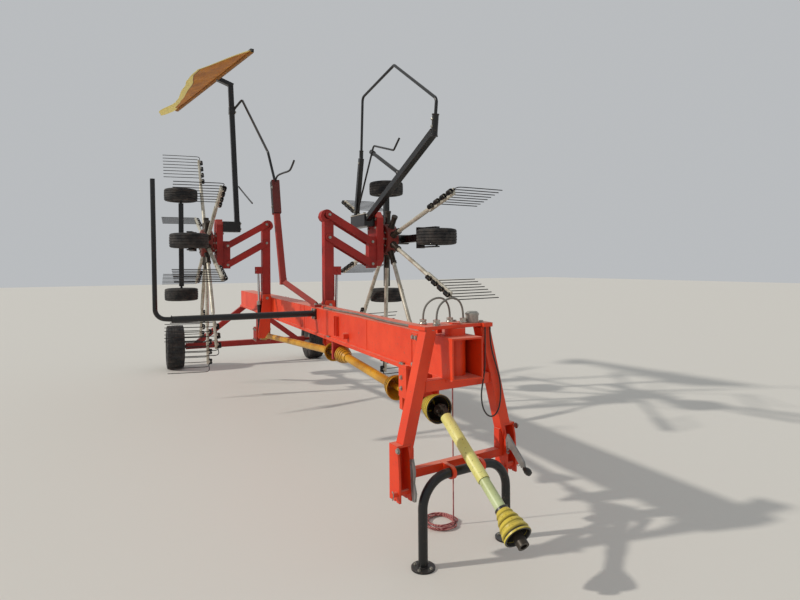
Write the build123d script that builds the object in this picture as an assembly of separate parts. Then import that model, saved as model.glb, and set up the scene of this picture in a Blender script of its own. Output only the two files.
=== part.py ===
from build123d import *
import os
from math import cos, radians, sin, tan

# Two-rotor hay rake, parked with both rotors folded up. Millimetres.
# Working frame: +X towards the tractor, +Y to the machine's left, +Z up,
# X = 0 is one BEAM_FRONT behind the front end of the chassis beam, Z = 0 is the ground.
# Everything is moved at the end so that the origin is under the middle of the machine.

# Chassis beam: a box section, open at its front end, on a bottom flange that is wider
BEAM_TOP = 1220
BEAM_DEPTH = 260
BEAM_WIDTH = 200
BEAM_WALL = 10
FLANGE_WIDTH = 240
FLANGE_THICK = 25
FLANGE_FRONT = 20
BEAM_FRONT = 565
AXLE_X = -6350
SADDLE = (90, 170)
SADDLE_THICK = 14
STUB_X, STUB_Z, STUB_RADIUS, STUB_OUT = -1120, 1048, 26, 45
CHANNEL_X, CHANNEL_LOW, CHANNEL_HIGH, CHANNEL_DEEP = -1380, 1020, 1190, 24

# Transport axle and its two wheels
TRACK = 2270
AXLE_SIDE = 90
AXLE_LEG_SIDE = 80
WHEEL_RADIUS = 345
WHEEL_WIDTH = 260
RIM_RADIUS = 200
HUB_RADIUS = 70
SPINDLE_RADIUS = 25

# Headstock: A-frame on a swivel pin through the beam's front end
SWIVEL_X = 426
SWIVEL_RADIUS = 30
SWIVEL_YAW = 7
COLLAR_RADIUS = 60
COLLAR_RISE = 45
PLATE_THICK = 20
PLATE_BACK = 126
LOWER_PLATE_BACK = 96
LOWER_PLATE_HALF = 95
LEG_SIDE = 70
LEG_FORWARD = 4
LEG_TOP_HALF = 195
LEG_FOOT_HALF = 375
LEG_FOOT_Z = 570
CROSSBAR_SIDE = 46
CROSSBAR_Z = 488
UPPER_BAR_DEPTH = 62

# Hitch channels at the legs' feet: two plates and a back, with a pin across them
CHANNEL_TOP_Z = 660
CHANNEL_FOOT_Z = 360
CHANNEL_GAP = 60
CHANNEL_PLATE = 12
CHANNEL_REACH = 90
CHANNEL_NOTCH = 46
HITCH_PIN_RADIUS = 14
HITCH_PIN_IN, HITCH_PIN_OUT = 50, 75
HITCH_PIN_Z = 405
CATCH_THICK = 12

# Parking stand: one bent tube on two round feet, held below and ahead of the crossbar
STAND_RADIUS = 26
STAND_HALF = 300
STAND_BEND = 165
STAND_TOP_Z = 476
STAND_AHEAD = 94
STAND_EAR = 105
STAND_EAR_THICK = 24
EAR_MARGIN = 10
FOOT_RADIUS = 65
FOOT_THICK = 10

# Driveline under the beam: points on its axis, front to rear
JOINT_FRONT = Vector(270, 0, 745)
BEARING_FRONT = Vector(-60, 0, 741)
BEARING_MIDDLE = Vector(-1600, 0, 830)
SPLITTER = Vector(-5150, 0, 610)
SHAFT_LENGTH = 910
SHAFT_DROOP = 31
SHAFT_RADIUS = 18
GUARD_RADIUS = 35
INNER_GUARD_RADIUS = 30
BELL_RADIUS = 90
BELL_LENGTH = 200
SMALL_BELL_RADIUS = 75
SMALL_BELL_LENGTH = 150
BELL_WALL = 5
BELL_STEP = 6
BELL_FLOOR = 30
BELL_RIBS = 4
BELL_RIB_RISE = 5
BEARING_HALF = 45
BEARING_RADIUS = 55
HANGER_HALF = 120
HANGER_SIDE = 14
SPLITTER_HALF = 160
KNUCKLE_RADIUS = 32
KNUCKLE_LENGTH = 110
MIDDLE_BELL_BACK = 300
REAR_BELL_BACK = 180

# Universal joint at the front: a cross of two pins, held by a fork on each shaft
CROSS_RADIUS = 10
CROSS_HALF = 38
FORK_INNER = 24
FORK_OUTER = 36
FORK_HALF = 12
FORK_BACK = 40
FORK_WEB = 12
YOKE_RADIUS = 30
YOKE_LENGTH = 70
YOKE_COVER = 20
YOKE_BORE_RADIUS = 17.5
YOKE_BORE_LENGTH = 60

# Booms: pivot on the beam, stand upright when folded
BOOM_PIVOT_Y = 160
BOOM_PIVOT_Z = 1215
BOOM_SIDE = 100
BOOM_LENGTH = 960
BOOM_PIN_RADIUS = 20
BOSS_RADIUS = 66
BOSS_INBOARD = 20
LUG_THICK = 14
SIDE_GAP = 6
PIN_HEAD = 12

# Parallel links between boom and rotor head
LINK_LENGTH = 560
LINK_DROP = 30
LINK_PLATE = 12
LINK_WIDTH = 76
LINK_PIN_RADIUS = 15
LINK_UPPER_Z = 2165
LINK_SPACING = 240

# Lift cylinder: foot below the beam, eye on the boom
CYL_FOOT_Y = 235
CYL_FOOT_Z = 740
CYL_EYE_OUT = 100
CYL_EYE_UP = 360
CYL_BARREL_RADIUS = 28
CYL_ROD_RADIUS = 14
CYL_EYE_RADIUS = 27
CYL_PIN_RADIUS = 10
CYL_EYE_WIDTH = 60
EYE_GAP = 3
EYE_LUG_THICK = 12
EYE_LUG_OUT = 32
EYE_LUG_HALF = 45
CYL_BARREL_END = 438
CYL_ROD_START = 428
CYL_BORE_BOTTOM = 62
RUN_GAP = 0.1

# Rotors: axis lies sideways when folded. "Out" is the distance from the middle of the machine.
HUB_BEHIND_BOOM = 70
HUB_Z = 1920
HEAD_OUT = 700
ROTOR_OUT = 885
ARM_COUNT = 10
ARM_RADIUS = 22
ARM_INNER = 150
CARRIER_INNER = 1030
CARRIER_OUTER = 1510
CARRIER_DEPTH = 62
CARRIER_THICK = 24
TINE_SIDE = 9
TINE_COUNT = 8
TINE_START = 50
TINE_TIP_OUT = 1350
TINE_ALONG = 90
TINE_SET = 30
COIL_RADIUS = 24
COIL_MARGIN = 6
HOLE_RADIUS = 9
DRUM_RADIUS = 170
DRUM_HALF = 70
HUB_SHAFT_RADIUS = 40

# Small wheels under each rotor
RUNNER_RADIUS = 210
RUNNER_WIDTH = 165
RUNNER_RIM = 115
RUNNER_OUT = 1140
RUNNER_BACK = 600
RUNNER_SPREAD = 660
RUNNER_FRONT = 680

# Guards and swath cloth
HOOP_OUT = 620
HOOP_RADIUS = 14
MAST_BASE_Z = 2060
MAST_BASE_HEIGHT = 130
POST_OUT = 520
POST_TOP = (-4050, -590, 3930)
CLOTH_FRONT = (-2950, -520, 3985)
CLOTH_REAR = (-5750, -1120, 3985)
CLOTH_FALL = 0.34
CLOTH_THICK = 8
CLOTH_BAR = 36
REST_TOP = (-2880, -300, 2560)

# Cords and what holds them
ROPE_DIAMETER = 9
ROPE_X, ROPE_Y = 200, 115
ROPE_CLIP = 22
COIL_MIDDLE = (140, 50, 0)
COIL_OUTER = 135
COIL_INNER = 52
COIL_HIGH = 26
CABLE_DIAMETER = 9
CABLE_AHEAD = 52
CABLE_CLIP_DEEP = 24
HOSE_DIAMETER = 16
COUPLER_HOSE_DIAMETER = 12
HOSE_GLAND_HIGH = 30
HOSE_GLAND_RADIUS = 15
HOSE_SPAN = 194
HOSE_GLANDS = ((-86, -165), (-16, -120))

# One row for each rotor: name, side of the machine, boom's X, angle of the first arm from
# straight ahead, and the numbers of the arms that are missing
ROTORS = [
    ("left", 1, -2440, 14, (1, 2, 3)),
    ("right", -1, -4060, 20, (1, 2)),
]

BEAM_BOTTOM = BEAM_TOP - BEAM_DEPTH

nodes = {}


def block(x0, x1, y0, y1, z0, z1):
    """A box given by its two corners."""
    size = (abs(x1 - x0), abs(y1 - y0), abs(z1 - z0))
    return Pos((x0 + x1) / 2, (y0 + y1) / 2, (z0 + z1) / 2) * Box(*size)


def along(start, end, sketch, side=(1, 0, 0)):
    """The sketch pushed from one point to another; its X lies as near to side as it can."""
    start, end = Vector(start), Vector(end)
    way = (end - start).normalized()
    flat = Vector(side) - way * way.dot(Vector(side))
    plane = Plane(origin=start, x_dir=flat, z_dir=way)
    return extrude(plane * sketch, amount=(end - start).length)


def rod(start, end, radius):
    """A round bar between two points."""
    side = (0, 1, 0) if abs((Vector(end) - Vector(start)).normalized().Y) < 0.9 else (1, 0, 0)
    return along(start, end, Circle(radius), side)


def bar(start, end, width, depth, side=(1, 0, 0)):
    """A rectangular bar between two points."""
    return along(start, end, Rectangle(width, depth), side)


def bent_pipe(points, bend, radius):
    """A round tube through the points, with every corner bent to one radius."""
    path = FilletPolyline(*points, radius=bend)
    plane = Plane(origin=points[0], z_dir=Vector(points[1]) - Vector(points[0]))
    return sweep(plane * Circle(radius), path=path)


def disc(centre, axis, radius, width):
    """A short round bar centred on a point."""
    plane = Plane(origin=centre, z_dir=axis)
    return extrude(plane * Circle(radius), amount=width / 2, both=True)


def turned(centre, axis, outline):
    """A closed outline of (distance along the axis, radius) points, turned about the axis."""
    plane = Plane(origin=centre, z_dir=axis)
    face = make_face(Polyline(*[(radius, 0, way) for way, radius in outline], close=True))
    return plane.location * revolve(face, Axis.Z)


# Chassis beam
BOX_BOTTOM = BEAM_BOTTOM + FLANGE_THICK


def make_beam():
    half = BEAM_WIDTH / 2
    outer = block(AXLE_X, BEAM_FRONT, -half, half, BOX_BOTTOM, BEAM_TOP)
    inner = block(AXLE_X + BEAM_WALL, BEAM_FRONT + BEAM_WALL, -half + BEAM_WALL,
                  half - BEAM_WALL, BOX_BOTTOM + BEAM_WALL, BEAM_TOP - BEAM_WALL)
    flange = block(AXLE_X, FLANGE_FRONT, -FLANGE_WIDTH / 2, FLANGE_WIDTH / 2,
                   BEAM_BOTTOM, BOX_BOTTOM)
    beam = outer - inner + flange
    # Collar for the swivel pin, standing proud above the beam
    collar = disc((SWIVEL_X, 0, (BOX_BOTTOM + BEAM_TOP + COLLAR_RISE) / 2), (0, 0, 1),
                  COLLAR_RADIUS, BEAM_TOP - BOX_BOTTOM + COLLAR_RISE)
    bore = disc((SWIVEL_X, 0, BEAM_TOP), (0, 0, 1), SWIVEL_RADIUS + RUN_GAP, 3 * BEAM_DEPTH)
    beam = beam + collar - bore
    # Doubler plates with rounded edges on both sides, just behind the swivel
    for side in (-1, 1):
        plate = block(SADDLE[0], SADDLE[1], side * (half - 1), side * (half + SADDLE_THICK),
                      BOX_BOTTOM, BEAM_TOP - SADDLE_THICK)
        outer_edges = plate.edges().filter_by(Axis.Z).sort_by(lambda edge: side * edge.center().Y)
        beam += fillet(outer_edges[-2:], SADDLE_THICK * 0.8)
    # Clip for the pull rope, and the glands of the hose along the top
    beam += block(ROPE_X - 16, ROPE_X + 16, half - 20, ROPE_Y + 16, BOX_BOTTOM - ROPE_CLIP,
                  BOX_BOTTOM + 1)
    beam += block(262, 300, -46, -14, BEAM_TOP - 1, BEAM_TOP + HOSE_DIAMETER + 6)
    beam += block(-1935, -1900, -70, -38, BEAM_TOP - 1, BEAM_TOP + HOSE_DIAMETER + 6)
    # Hose stub and an upright channel on the right side
    beam += rod((STUB_X, -half + 1, STUB_Z), (STUB_X, -half - STUB_OUT, STUB_Z), STUB_RADIUS)
    channel = block(CHANNEL_X - 30, CHANNEL_X + 30, -half + 1, -half - CHANNEL_DEEP,
                    CHANNEL_LOW, CHANNEL_HIGH)
    channel -= block(CHANNEL_X - 22, CHANNEL_X + 22, -half, -half - CHANNEL_DEEP - 1,
                     CHANNEL_LOW - 1, CHANNEL_HIGH + 1)
    return beam + channel


nodes["main_beam"] = make_beam()


# Boom pivots and cylinder feet: a pair of plates for each boom, notched round the flange
def make_brackets():
    parts = []
    for name, side, boom_x, phase, missing in ROTORS:
        inside = BOOM_SIDE / 2 + SIDE_GAP
        seat = BEAM_WIDTH / 2 + RUN_GAP
        edge = FLANGE_WIDTH / 2 + RUN_GAP
        profile = [(seat, BEAM_TOP), (seat, BOX_BOTTOM + RUN_GAP), (edge, BOX_BOTTOM + RUN_GAP),
                   (edge, CYL_FOOT_Z + 60), (CYL_FOOT_Y - 40, CYL_FOOT_Z - 40),
                   (CYL_FOOT_Y + 40, CYL_FOOT_Z - 40), (CYL_FOOT_Y + 40, CYL_FOOT_Z + 30),
                   (BOOM_PIVOT_Y + 62, BEAM_TOP - 80), (BOOM_PIVOT_Y + 50, BOOM_PIVOT_Z + 50),
                   (BOOM_PIVOT_Y - 40, BOOM_PIVOT_Z + 50)]
        bracket = None
        for end in (-1, 1):
            plane = Plane(origin=(boom_x + end * inside, 0, 0), x_dir=(0, side, 0),
                          z_dir=(side, 0, 0))
            face = make_face(Polyline(*profile, close=True))
            plate = extrude(plane * face, amount=LUG_THICK, dir=(end, 0, 0))
            bracket = plate if bracket is None else bracket + plate
        reach = inside + LUG_THICK + PIN_HEAD
        for y, z, radius in ((BOOM_PIVOT_Y, BOOM_PIVOT_Z, BOOM_PIN_RADIUS),
                             (CYL_FOOT_Y, CYL_FOOT_Z, CYL_PIN_RADIUS)):
            bracket += rod((boom_x - reach, side * y, z), (boom_x + reach, side * y, z), radius)
        parts.append(bracket)
    return parts[0] + parts[1]


nodes["boom_brackets"] = make_brackets()


# Transport axle: a square tube across the rear end, with a spindle for each wheel
def make_axle():
    half = TRACK / 2 - WHEEL_WIDTH / 2 - 30
    tube = block(AXLE_X - AXLE_SIDE / 2, AXLE_X + AXLE_SIDE / 2, -half, half,
                 WHEEL_RADIUS - AXLE_SIDE / 2, WHEEL_RADIUS + AXLE_SIDE / 2)
    for side in (-1, 1):
        tube += rod((AXLE_X, side * half, WHEEL_RADIUS),
                    (AXLE_X, side * (TRACK / 2 + 90), WHEEL_RADIUS), SPINDLE_RADIUS)
        # Raking legs from the axle up to the beam
        tube += bar((AXLE_X, side * (half - 120), WHEEL_RADIUS),
                    (AXLE_X + 40, side * BEAM_WIDTH / 4, BEAM_BOTTOM), AXLE_LEG_SIDE,
                    AXLE_LEG_SIDE)
    tube -= block(AXLE_X - 200, AXLE_X + 200, -300, 300, BEAM_BOTTOM - 1, BEAM_TOP)
    return tube + block(AXLE_X, AXLE_X + 140, -FLANGE_WIDTH / 2, FLANGE_WIDTH / 2,
                        BEAM_BOTTOM - 20, BEAM_BOTTOM)


nodes["transport_axle"] = make_axle()


# Wheels: a tyre with shoulder lugs left to the surface, and a dished rim on its spindle
def tyre(centre, axis, radius, width, rim):
    half = width / 2
    outline = [(-half * 0.78, rim), (-half, rim + (radius - rim) * 0.35),
               (-half * 0.96, radius - 26), (-half * 0.72, radius), (half * 0.72, radius),
               (half * 0.96, radius - 26), (half, rim + (radius - rim) * 0.35),
               (half * 0.78, rim)]
    return turned(centre, axis, outline)


def rim(centre, axis, radius, width, hub, bore):
    half = width / 2 * 0.78
    outline = [(-half, radius - RUN_GAP), (-half, radius - 14), (-12, radius * 0.62), (-12, hub),
               (-half * 0.7, hub), (-half * 0.7, bore), (half * 0.7, bore), (half * 0.7, hub),
               (0, hub), (0, radius * 0.62), (half, radius - 14), (half, radius - RUN_GAP)]
    return turned(centre, axis, outline)


for name, side in (("left", 1), ("right", -1)):
    centre = (AXLE_X, side * TRACK / 2, WHEEL_RADIUS)
    nodes["transport_tyre_" + name] = tyre(centre, (0, side, 0), WHEEL_RADIUS, WHEEL_WIDTH,
                                           RIM_RADIUS)
    nodes["transport_rim_" + name] = rim(centre, (0, side, 0), RIM_RADIUS, WHEEL_WIDTH,
                                         HUB_RADIUS, SPINDLE_RADIUS + RUN_GAP)


# Headstock, drawn straight ahead of its swivel pin and then turned
PLATE_TOP = BEAM_TOP + COLLAR_RISE + RUN_GAP + PLATE_THICK
PLATE_LOW = BOX_BOTTOM - RUN_GAP - PLATE_THICK
LEG_SLOPE = (LEG_FOOT_HALF - LEG_TOP_HALF) / (PLATE_TOP - LEG_FOOT_Z)
CHANNEL_MIDDLE = LEG_FOOT_HALF + 8
CHANNEL_BACK = LEG_FORWARD - LEG_SIDE / 2
HITCH_PIN_AHEAD = CHANNEL_BACK + CHANNEL_REACH - 26
CHANNEL_LEAN = 10
CHANNEL_LEAN_TOP = CHANNEL_TOP_Z - 70
CHANNEL_LEAN_FOOT = HITCH_PIN_Z + 60


def make_headstock():
    front = LEG_FORWARD + LEG_SIDE / 2
    frame = block(-PLATE_BACK, front, -LEG_TOP_HALF - 45, LEG_TOP_HALF + 45,
                  PLATE_TOP - PLATE_THICK, PLATE_TOP)
    frame += block(-LOWER_PLATE_BACK, front, -LOWER_PLATE_HALF, LOWER_PLATE_HALF,
                   PLATE_LOW, PLATE_LOW + PLATE_THICK)
    frame += rod((0, 0, PLATE_LOW), (0, 0, PLATE_TOP + 10), SWIVEL_RADIUS)
    for side in (-1, 1):
        foot = (LEG_FORWARD, side * LEG_FOOT_HALF, LEG_FOOT_Z)
        frame += bar((LEG_FORWARD, side * LEG_TOP_HALF, PLATE_TOP - PLATE_THICK), foot,
                     LEG_SIDE, LEG_SIDE)
        # Ears that hold the stand's top tube, rounded so that they pass under the shaft
        ear = side * STAND_EAR
        reach = STAND_RADIUS + EAR_MARGIN
        frame += block(LEG_FORWARD, STAND_AHEAD, ear - STAND_EAR_THICK / 2,
                       ear + STAND_EAR_THICK / 2, STAND_TOP_Z - reach, STAND_TOP_Z + reach)
        frame += disc((STAND_AHEAD, ear, STAND_TOP_Z), (0, 1, 0), reach, STAND_EAR_THICK)
    # Clip for the light cable, and the glands and couplings of the two front hoses
    frame += block(front - 1, CABLE_AHEAD + 10, 168, 234, PLATE_TOP - CABLE_CLIP_DEEP, PLATE_TOP)
    for ahead, across in HOSE_GLANDS:
        for shift in (0, HOSE_SPAN):
            frame += rod((ahead, across + shift, PLATE_TOP - 1),
                         (ahead, across + shift, PLATE_TOP + HOSE_GLAND_HIGH), HOSE_GLAND_RADIUS)
    top_half = LEG_TOP_HALF + LEG_SLOPE * (PLATE_TOP - PLATE_LOW)
    frame += block(CHANNEL_BACK + 5, front - 5, -top_half, top_half,
                   PLATE_LOW + PLATE_THICK - UPPER_BAR_DEPTH, PLATE_LOW + PLATE_THICK)
    # Lower crossbar, between the hitch channels
    inner = CHANNEL_MIDDLE - CHANNEL_GAP / 2 - CHANNEL_PLATE - RUN_GAP
    frame += block(LEG_FORWARD - CROSSBAR_SIDE / 2, LEG_FORWARD + CROSSBAR_SIDE / 2, -inner,
                   inner, CROSSBAR_Z - CROSSBAR_SIDE / 2, CROSSBAR_Z + CROSSBAR_SIDE / 2)
    for side in (-1, 1):
        # Web from the crossbar's end up to the slanting leg
        frame += block(LEG_FORWARD - CROSSBAR_SIDE / 2, LEG_FORWARD + CROSSBAR_SIDE / 2,
                       side * (inner - 30), side * inner, CROSSBAR_Z, LEG_FOOT_Z + 60)
    bore = rod((STAND_AHEAD, -200, STAND_TOP_Z), (STAND_AHEAD, 200, STAND_TOP_Z),
               STAND_RADIUS + RUN_GAP)
    frame -= bore
    # Room for the channels' plates and backs, whose tops run up over the legs' ends
    for side in (-1, 1):
        wide = CHANNEL_GAP / 2 + CHANNEL_PLATE + RUN_GAP
        frame -= block(CHANNEL_BACK - 40, front + 40, side * CHANNEL_MIDDLE - wide,
                       side * CHANNEL_MIDDLE + wide, CHANNEL_FOOT_Z - 40,
                       CHANNEL_TOP_Z + RUN_GAP)
    return frame


def swivelled(shape):
    return Pos(SWIVEL_X, 0, 0) * Rot(0, 0, SWIVEL_YAW) * shape


nodes["headstock"] = swivelled(make_headstock())


# Hitch channels: each is two notched plates on a back plate, with a cap and a pin across
def make_channels():
    front = CHANNEL_BACK + CHANNEL_REACH
    parts = []
    for side in (-1, 1):
        channel = block(CHANNEL_BACK - CHANNEL_PLATE, CHANNEL_BACK,
                        side * CHANNEL_MIDDLE - CHANNEL_GAP / 2 - CHANNEL_PLATE,
                        side * CHANNEL_MIDDLE + CHANNEL_GAP / 2 + CHANNEL_PLATE,
                        CHANNEL_FOOT_Z, CHANNEL_TOP_Z)
        channel += block(CHANNEL_BACK - 1, LEG_FORWARD + LEG_SIDE / 2,
                         side * CHANNEL_MIDDLE - CHANNEL_GAP / 2 - CHANNEL_PLATE,
                         side * CHANNEL_MIDDLE + CHANNEL_GAP / 2 + CHANNEL_PLATE,
                         CHANNEL_TOP_Z - CHANNEL_PLATE, CHANNEL_TOP_Z)
        for end in (-1, 1):
            y = side * CHANNEL_MIDDLE + end * (CHANNEL_GAP + CHANNEL_PLATE) / 2
            outline = Polyline((CHANNEL_BACK - 1, CHANNEL_TOP_Z), (CHANNEL_BACK + 62, CHANNEL_TOP_Z),
                               (front - CHANNEL_LEAN, CHANNEL_LEAN_TOP),
                               (front, CHANNEL_LEAN_FOOT),
                               (front, CHANNEL_FOOT_Z), (front - 30, CHANNEL_FOOT_Z),
                               (front - 40, CHANNEL_FOOT_Z + 18),
                               (front - CHANNEL_NOTCH, CHANNEL_FOOT_Z),
                               (CHANNEL_BACK - 1, CHANNEL_FOOT_Z), close=True)
            plane = Plane(origin=(0, y, 0), x_dir=(1, 0, 0), z_dir=(0, -1, 0))
            channel += extrude(plane * make_face(outline), amount=CHANNEL_PLATE / 2, both=True)
        channel += rod((HITCH_PIN_AHEAD, side * (CHANNEL_MIDDLE - HITCH_PIN_IN), HITCH_PIN_Z),
                       (HITCH_PIN_AHEAD, side * (CHANNEL_MIDDLE + HITCH_PIN_OUT), HITCH_PIN_Z),
                       HITCH_PIN_RADIUS)
        parts.append(channel)
    return parts[0] + parts[1]


nodes["hitch_channels"] = swivelled(make_channels())


# Catch levers that close over the hitch pins: the right one hangs down, the left one is open
def make_catches():
    face = CHANNEL_BACK + CHANNEL_REACH + RUN_GAP

    def seat(z):
        """A point just in front of the leaning edge of the channel's plate."""
        lean = CHANNEL_LEAN * (z - CHANNEL_LEAN_FOOT) / (CHANNEL_LEAN_TOP - CHANNEL_LEAN_FOOT)
        return face - lean, z

    z = HITCH_PIN_Z
    down = [seat(z + 175), (face + 16, z + 185), (face + 34, z + 120), (face + 26, z + 55),
            (face + 44, z + 5), (face + 36, z - 40), (face + 14, z - 42), (face + 4, z + 10),
            seat(CHANNEL_LEAN_FOOT)]
    ahead = [seat(z + 165), (face + 8, z + 200), (face + 60, z + 150), (face + 142, z + 72),
             (face + 150, z + 40), (face + 122, z + 30), (face + 40, z + 110), seat(z + 125)]
    parts = []
    for side, outline in ((-1, down), (1, ahead)):
        # The catch sits on the front edge of the channel's inner plate
        y = side * (CHANNEL_MIDDLE - (CHANNEL_GAP + CHANNEL_PLATE) / 2)
        plane = Plane(origin=(0, y, 0), x_dir=(1, 0, 0), z_dir=(0, -1, 0))
        face_shape = make_face(Polyline(*outline, close=True))
        parts.append(extrude(plane * face_shape, amount=CATCH_THICK / 2, both=True))
    return parts[0] + parts[1]


nodes["hitch_catches"] = swivelled(make_catches())


# Parking stand
def make_stand():
    points = [(STAND_AHEAD, -STAND_HALF, FOOT_THICK), (STAND_AHEAD, -STAND_HALF, STAND_TOP_Z),
              (STAND_AHEAD, STAND_HALF, STAND_TOP_Z), (STAND_AHEAD, STAND_HALF, FOOT_THICK)]
    stand = bent_pipe(points, STAND_BEND, STAND_RADIUS)
    for side in (-1, 1):
        stand += disc((STAND_AHEAD, side * STAND_HALF, FOOT_THICK / 2), (0, 0, 1), FOOT_RADIUS,
                      FOOT_THICK)
    return stand


nodes["parking_stand"] = swivelled(make_stand())


# Bearing hangers under the beam: the front one hangs between two side plates
def make_hanger(point, width):
    x = point.X
    plate = block(x - 22, x + 22, -width / 2, width / 2, point.Z - 50, BEAM_BOTTOM)
    return plate + disc(point, (1, 0, 0), BEARING_RADIUS, 2 * BEARING_HALF)


def make_front_hanger():
    hanger = make_hanger(BEARING_FRONT, 2 * HANGER_HALF)
    for side in (-1, 1):
        hanger += block(BEARING_FRONT.X - 34, FLANGE_FRONT, side * (HANGER_HALF - HANGER_SIDE),
                        side * HANGER_HALF, BEARING_FRONT.Z + 30, BEAM_BOTTOM)
    return hanger


nodes["bearing_front"] = make_front_hanger()
nodes["bearing_middle"] = make_hanger(BEARING_MIDDLE, 150)


# Rear splitter gearbox
def make_splitter():
    x, z = SPLITTER.X, SPLITTER.Z
    case = block(x - 130, x + 130, -100, 100, z - 100, z + 110)
    case = chamfer(case.edges().filter_by(Axis.Y), 25)
    case += disc((x, 0, z), (1, 0, 0), 60, 2 * SPLITTER_HALF)
    return case + block(x - 70, x + 70, -70, 70, z + 100, BEAM_BOTTOM)


nodes["splitter_gearbox"] = make_splitter()


# Guarded shafts: a plastic tube with an open bell at an end, on a steel shaft
def bell_profile(mouth, throat, bell, neck):
    """The outside of a bell from its mouth to its throat, with ribs round it."""
    points = [(mouth, bell)]
    step = (throat - mouth) / (BELL_RIBS + 1)
    for number in range(BELL_RIBS):
        way = mouth + step * (number + 0.5)
        end = way + step / 2
        for place, rise in ((way, 0), (way, -1), (end, -1), (end, 0)):
            radius = bell + (neck - bell) * ((place - mouth) / (throat - mouth)) ** 1.6
            points.append((place, radius + rise * BELL_RIB_RISE))
    return points + [(throat, neck)]


def guarded(start, end, first, last, tube_end=None):
    """A shaft between two points. first and last give each end of its guard as
    (set back from the point, bell radius, bell length), with radius 0 for a plain end."""
    start, end = Vector(start), Vector(end)
    length = (end - start).length
    back, bell, bell_length = first
    outline = [(0, 0), (0, SHAFT_RADIUS)]
    if bell:
        throat = back + bell_length - BELL_FLOOR
        outline += [(throat, SHAFT_RADIUS), (throat, GUARD_RADIUS), (back, bell - BELL_WALL)]
        outline += bell_profile(back, back + bell_length, bell, GUARD_RADIUS + BELL_STEP)
        outline += [(back + bell_length, GUARD_RADIUS)]
    else:
        outline += [(back, SHAFT_RADIUS), (back, GUARD_RADIUS)]
    back, bell, bell_length = last
    mouth = length - back
    if tube_end:
        outline += [(tube_end, GUARD_RADIUS), (tube_end, INNER_GUARD_RADIUS)]
    sleeve = INNER_GUARD_RADIUS if tube_end else GUARD_RADIUS
    if bell:
        throat = mouth - bell_length + BELL_FLOOR
        outline += [(mouth - bell_length, sleeve)]
        outline += bell_profile(mouth, mouth - bell_length, bell, sleeve + BELL_STEP)[::-1]
        outline += [(mouth, bell - BELL_WALL), (throat, GUARD_RADIUS), (throat, SHAFT_RADIUS)]
    else:
        outline += [(mouth, sleeve), (mouth, SHAFT_RADIUS)]
    outline += [(length, SHAFT_RADIUS), (length, 0)]
    return turned(start, (end - start).normalized(), outline)


def clear_of(shape, point, half):
    """Stops a shaft just short of the flat faces of the bearing at a point."""
    reach = half + RUN_GAP
    return shape - block(point.X - reach, point.X + reach, -150, 150, point.Z - 150, point.Z + 150)


def knuckle(end, way):
    """The universal joint that shows between a bearing and the mouth of a bell."""
    return rod(end + way * 60, end + way * (60 + KNUCKLE_LENGTH), KNUCKLE_RADIUS)


# Short shaft from the front bearing to the joint, with its fork and the cross of two pins
def make_input_shaft():
    end = JOINT_FRONT - Vector(FORK_BACK, 0, 0)
    shaft = guarded(BEARING_FRONT, end, (60, 0, 0), (-FORK_BACK + FORK_OUTER, BELL_RADIUS, 160))
    x, z = JOINT_FRONT.X, JOINT_FRONT.Z
    shaft += block(x - FORK_BACK - FORK_WEB, x - FORK_BACK, -FORK_HALF - 4, FORK_HALF + 4,
                   z - FORK_OUTER, z + FORK_OUTER)
    for side in (-1, 1):
        shaft += block(x - FORK_BACK - 1, x + FORK_HALF, -FORK_HALF, FORK_HALF,
                       z + side * FORK_INNER, z + side * FORK_OUTER)
    shaft += rod((x, 0, z - CROSS_HALF), (x, 0, z + CROSS_HALF), CROSS_RADIUS)
    shaft += rod((x, -CROSS_HALF, z), (x, CROSS_HALF, z), CROSS_RADIUS)
    return clear_of(shaft, BEARING_FRONT, BEARING_HALF)


nodes["input_shaft"] = make_input_shaft()
way = (BEARING_MIDDLE - BEARING_FRONT).normalized()
shaft = guarded(BEARING_MIDDLE, BEARING_FRONT, (60, SMALL_BELL_RADIUS, SMALL_BELL_LENGTH),
                (MIDDLE_BELL_BACK, BELL_RADIUS, SMALL_BELL_LENGTH)) + knuckle(BEARING_FRONT, way)
shaft = clear_of(shaft, BEARING_MIDDLE, BEARING_HALF)
nodes["middle_shaft"] = clear_of(shaft, BEARING_FRONT, BEARING_HALF)
way = (SPLITTER - BEARING_MIDDLE).normalized()
shaft = guarded(SPLITTER, BEARING_MIDDLE, (200, SMALL_BELL_RADIUS, SMALL_BELL_LENGTH),
                (REAR_BELL_BACK, BELL_RADIUS, SMALL_BELL_LENGTH)) + knuckle(BEARING_MIDDLE, way)
shaft = clear_of(shaft, SPLITTER, SPLITTER_HALF)
nodes["rear_shaft"] = clear_of(shaft, BEARING_MIDDLE, BEARING_HALF)

# Front shaft, hanging down from its universal joint
droop = radians(SHAFT_DROOP)
shaft_way = Vector(cos(droop), 0, -sin(droop))


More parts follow.
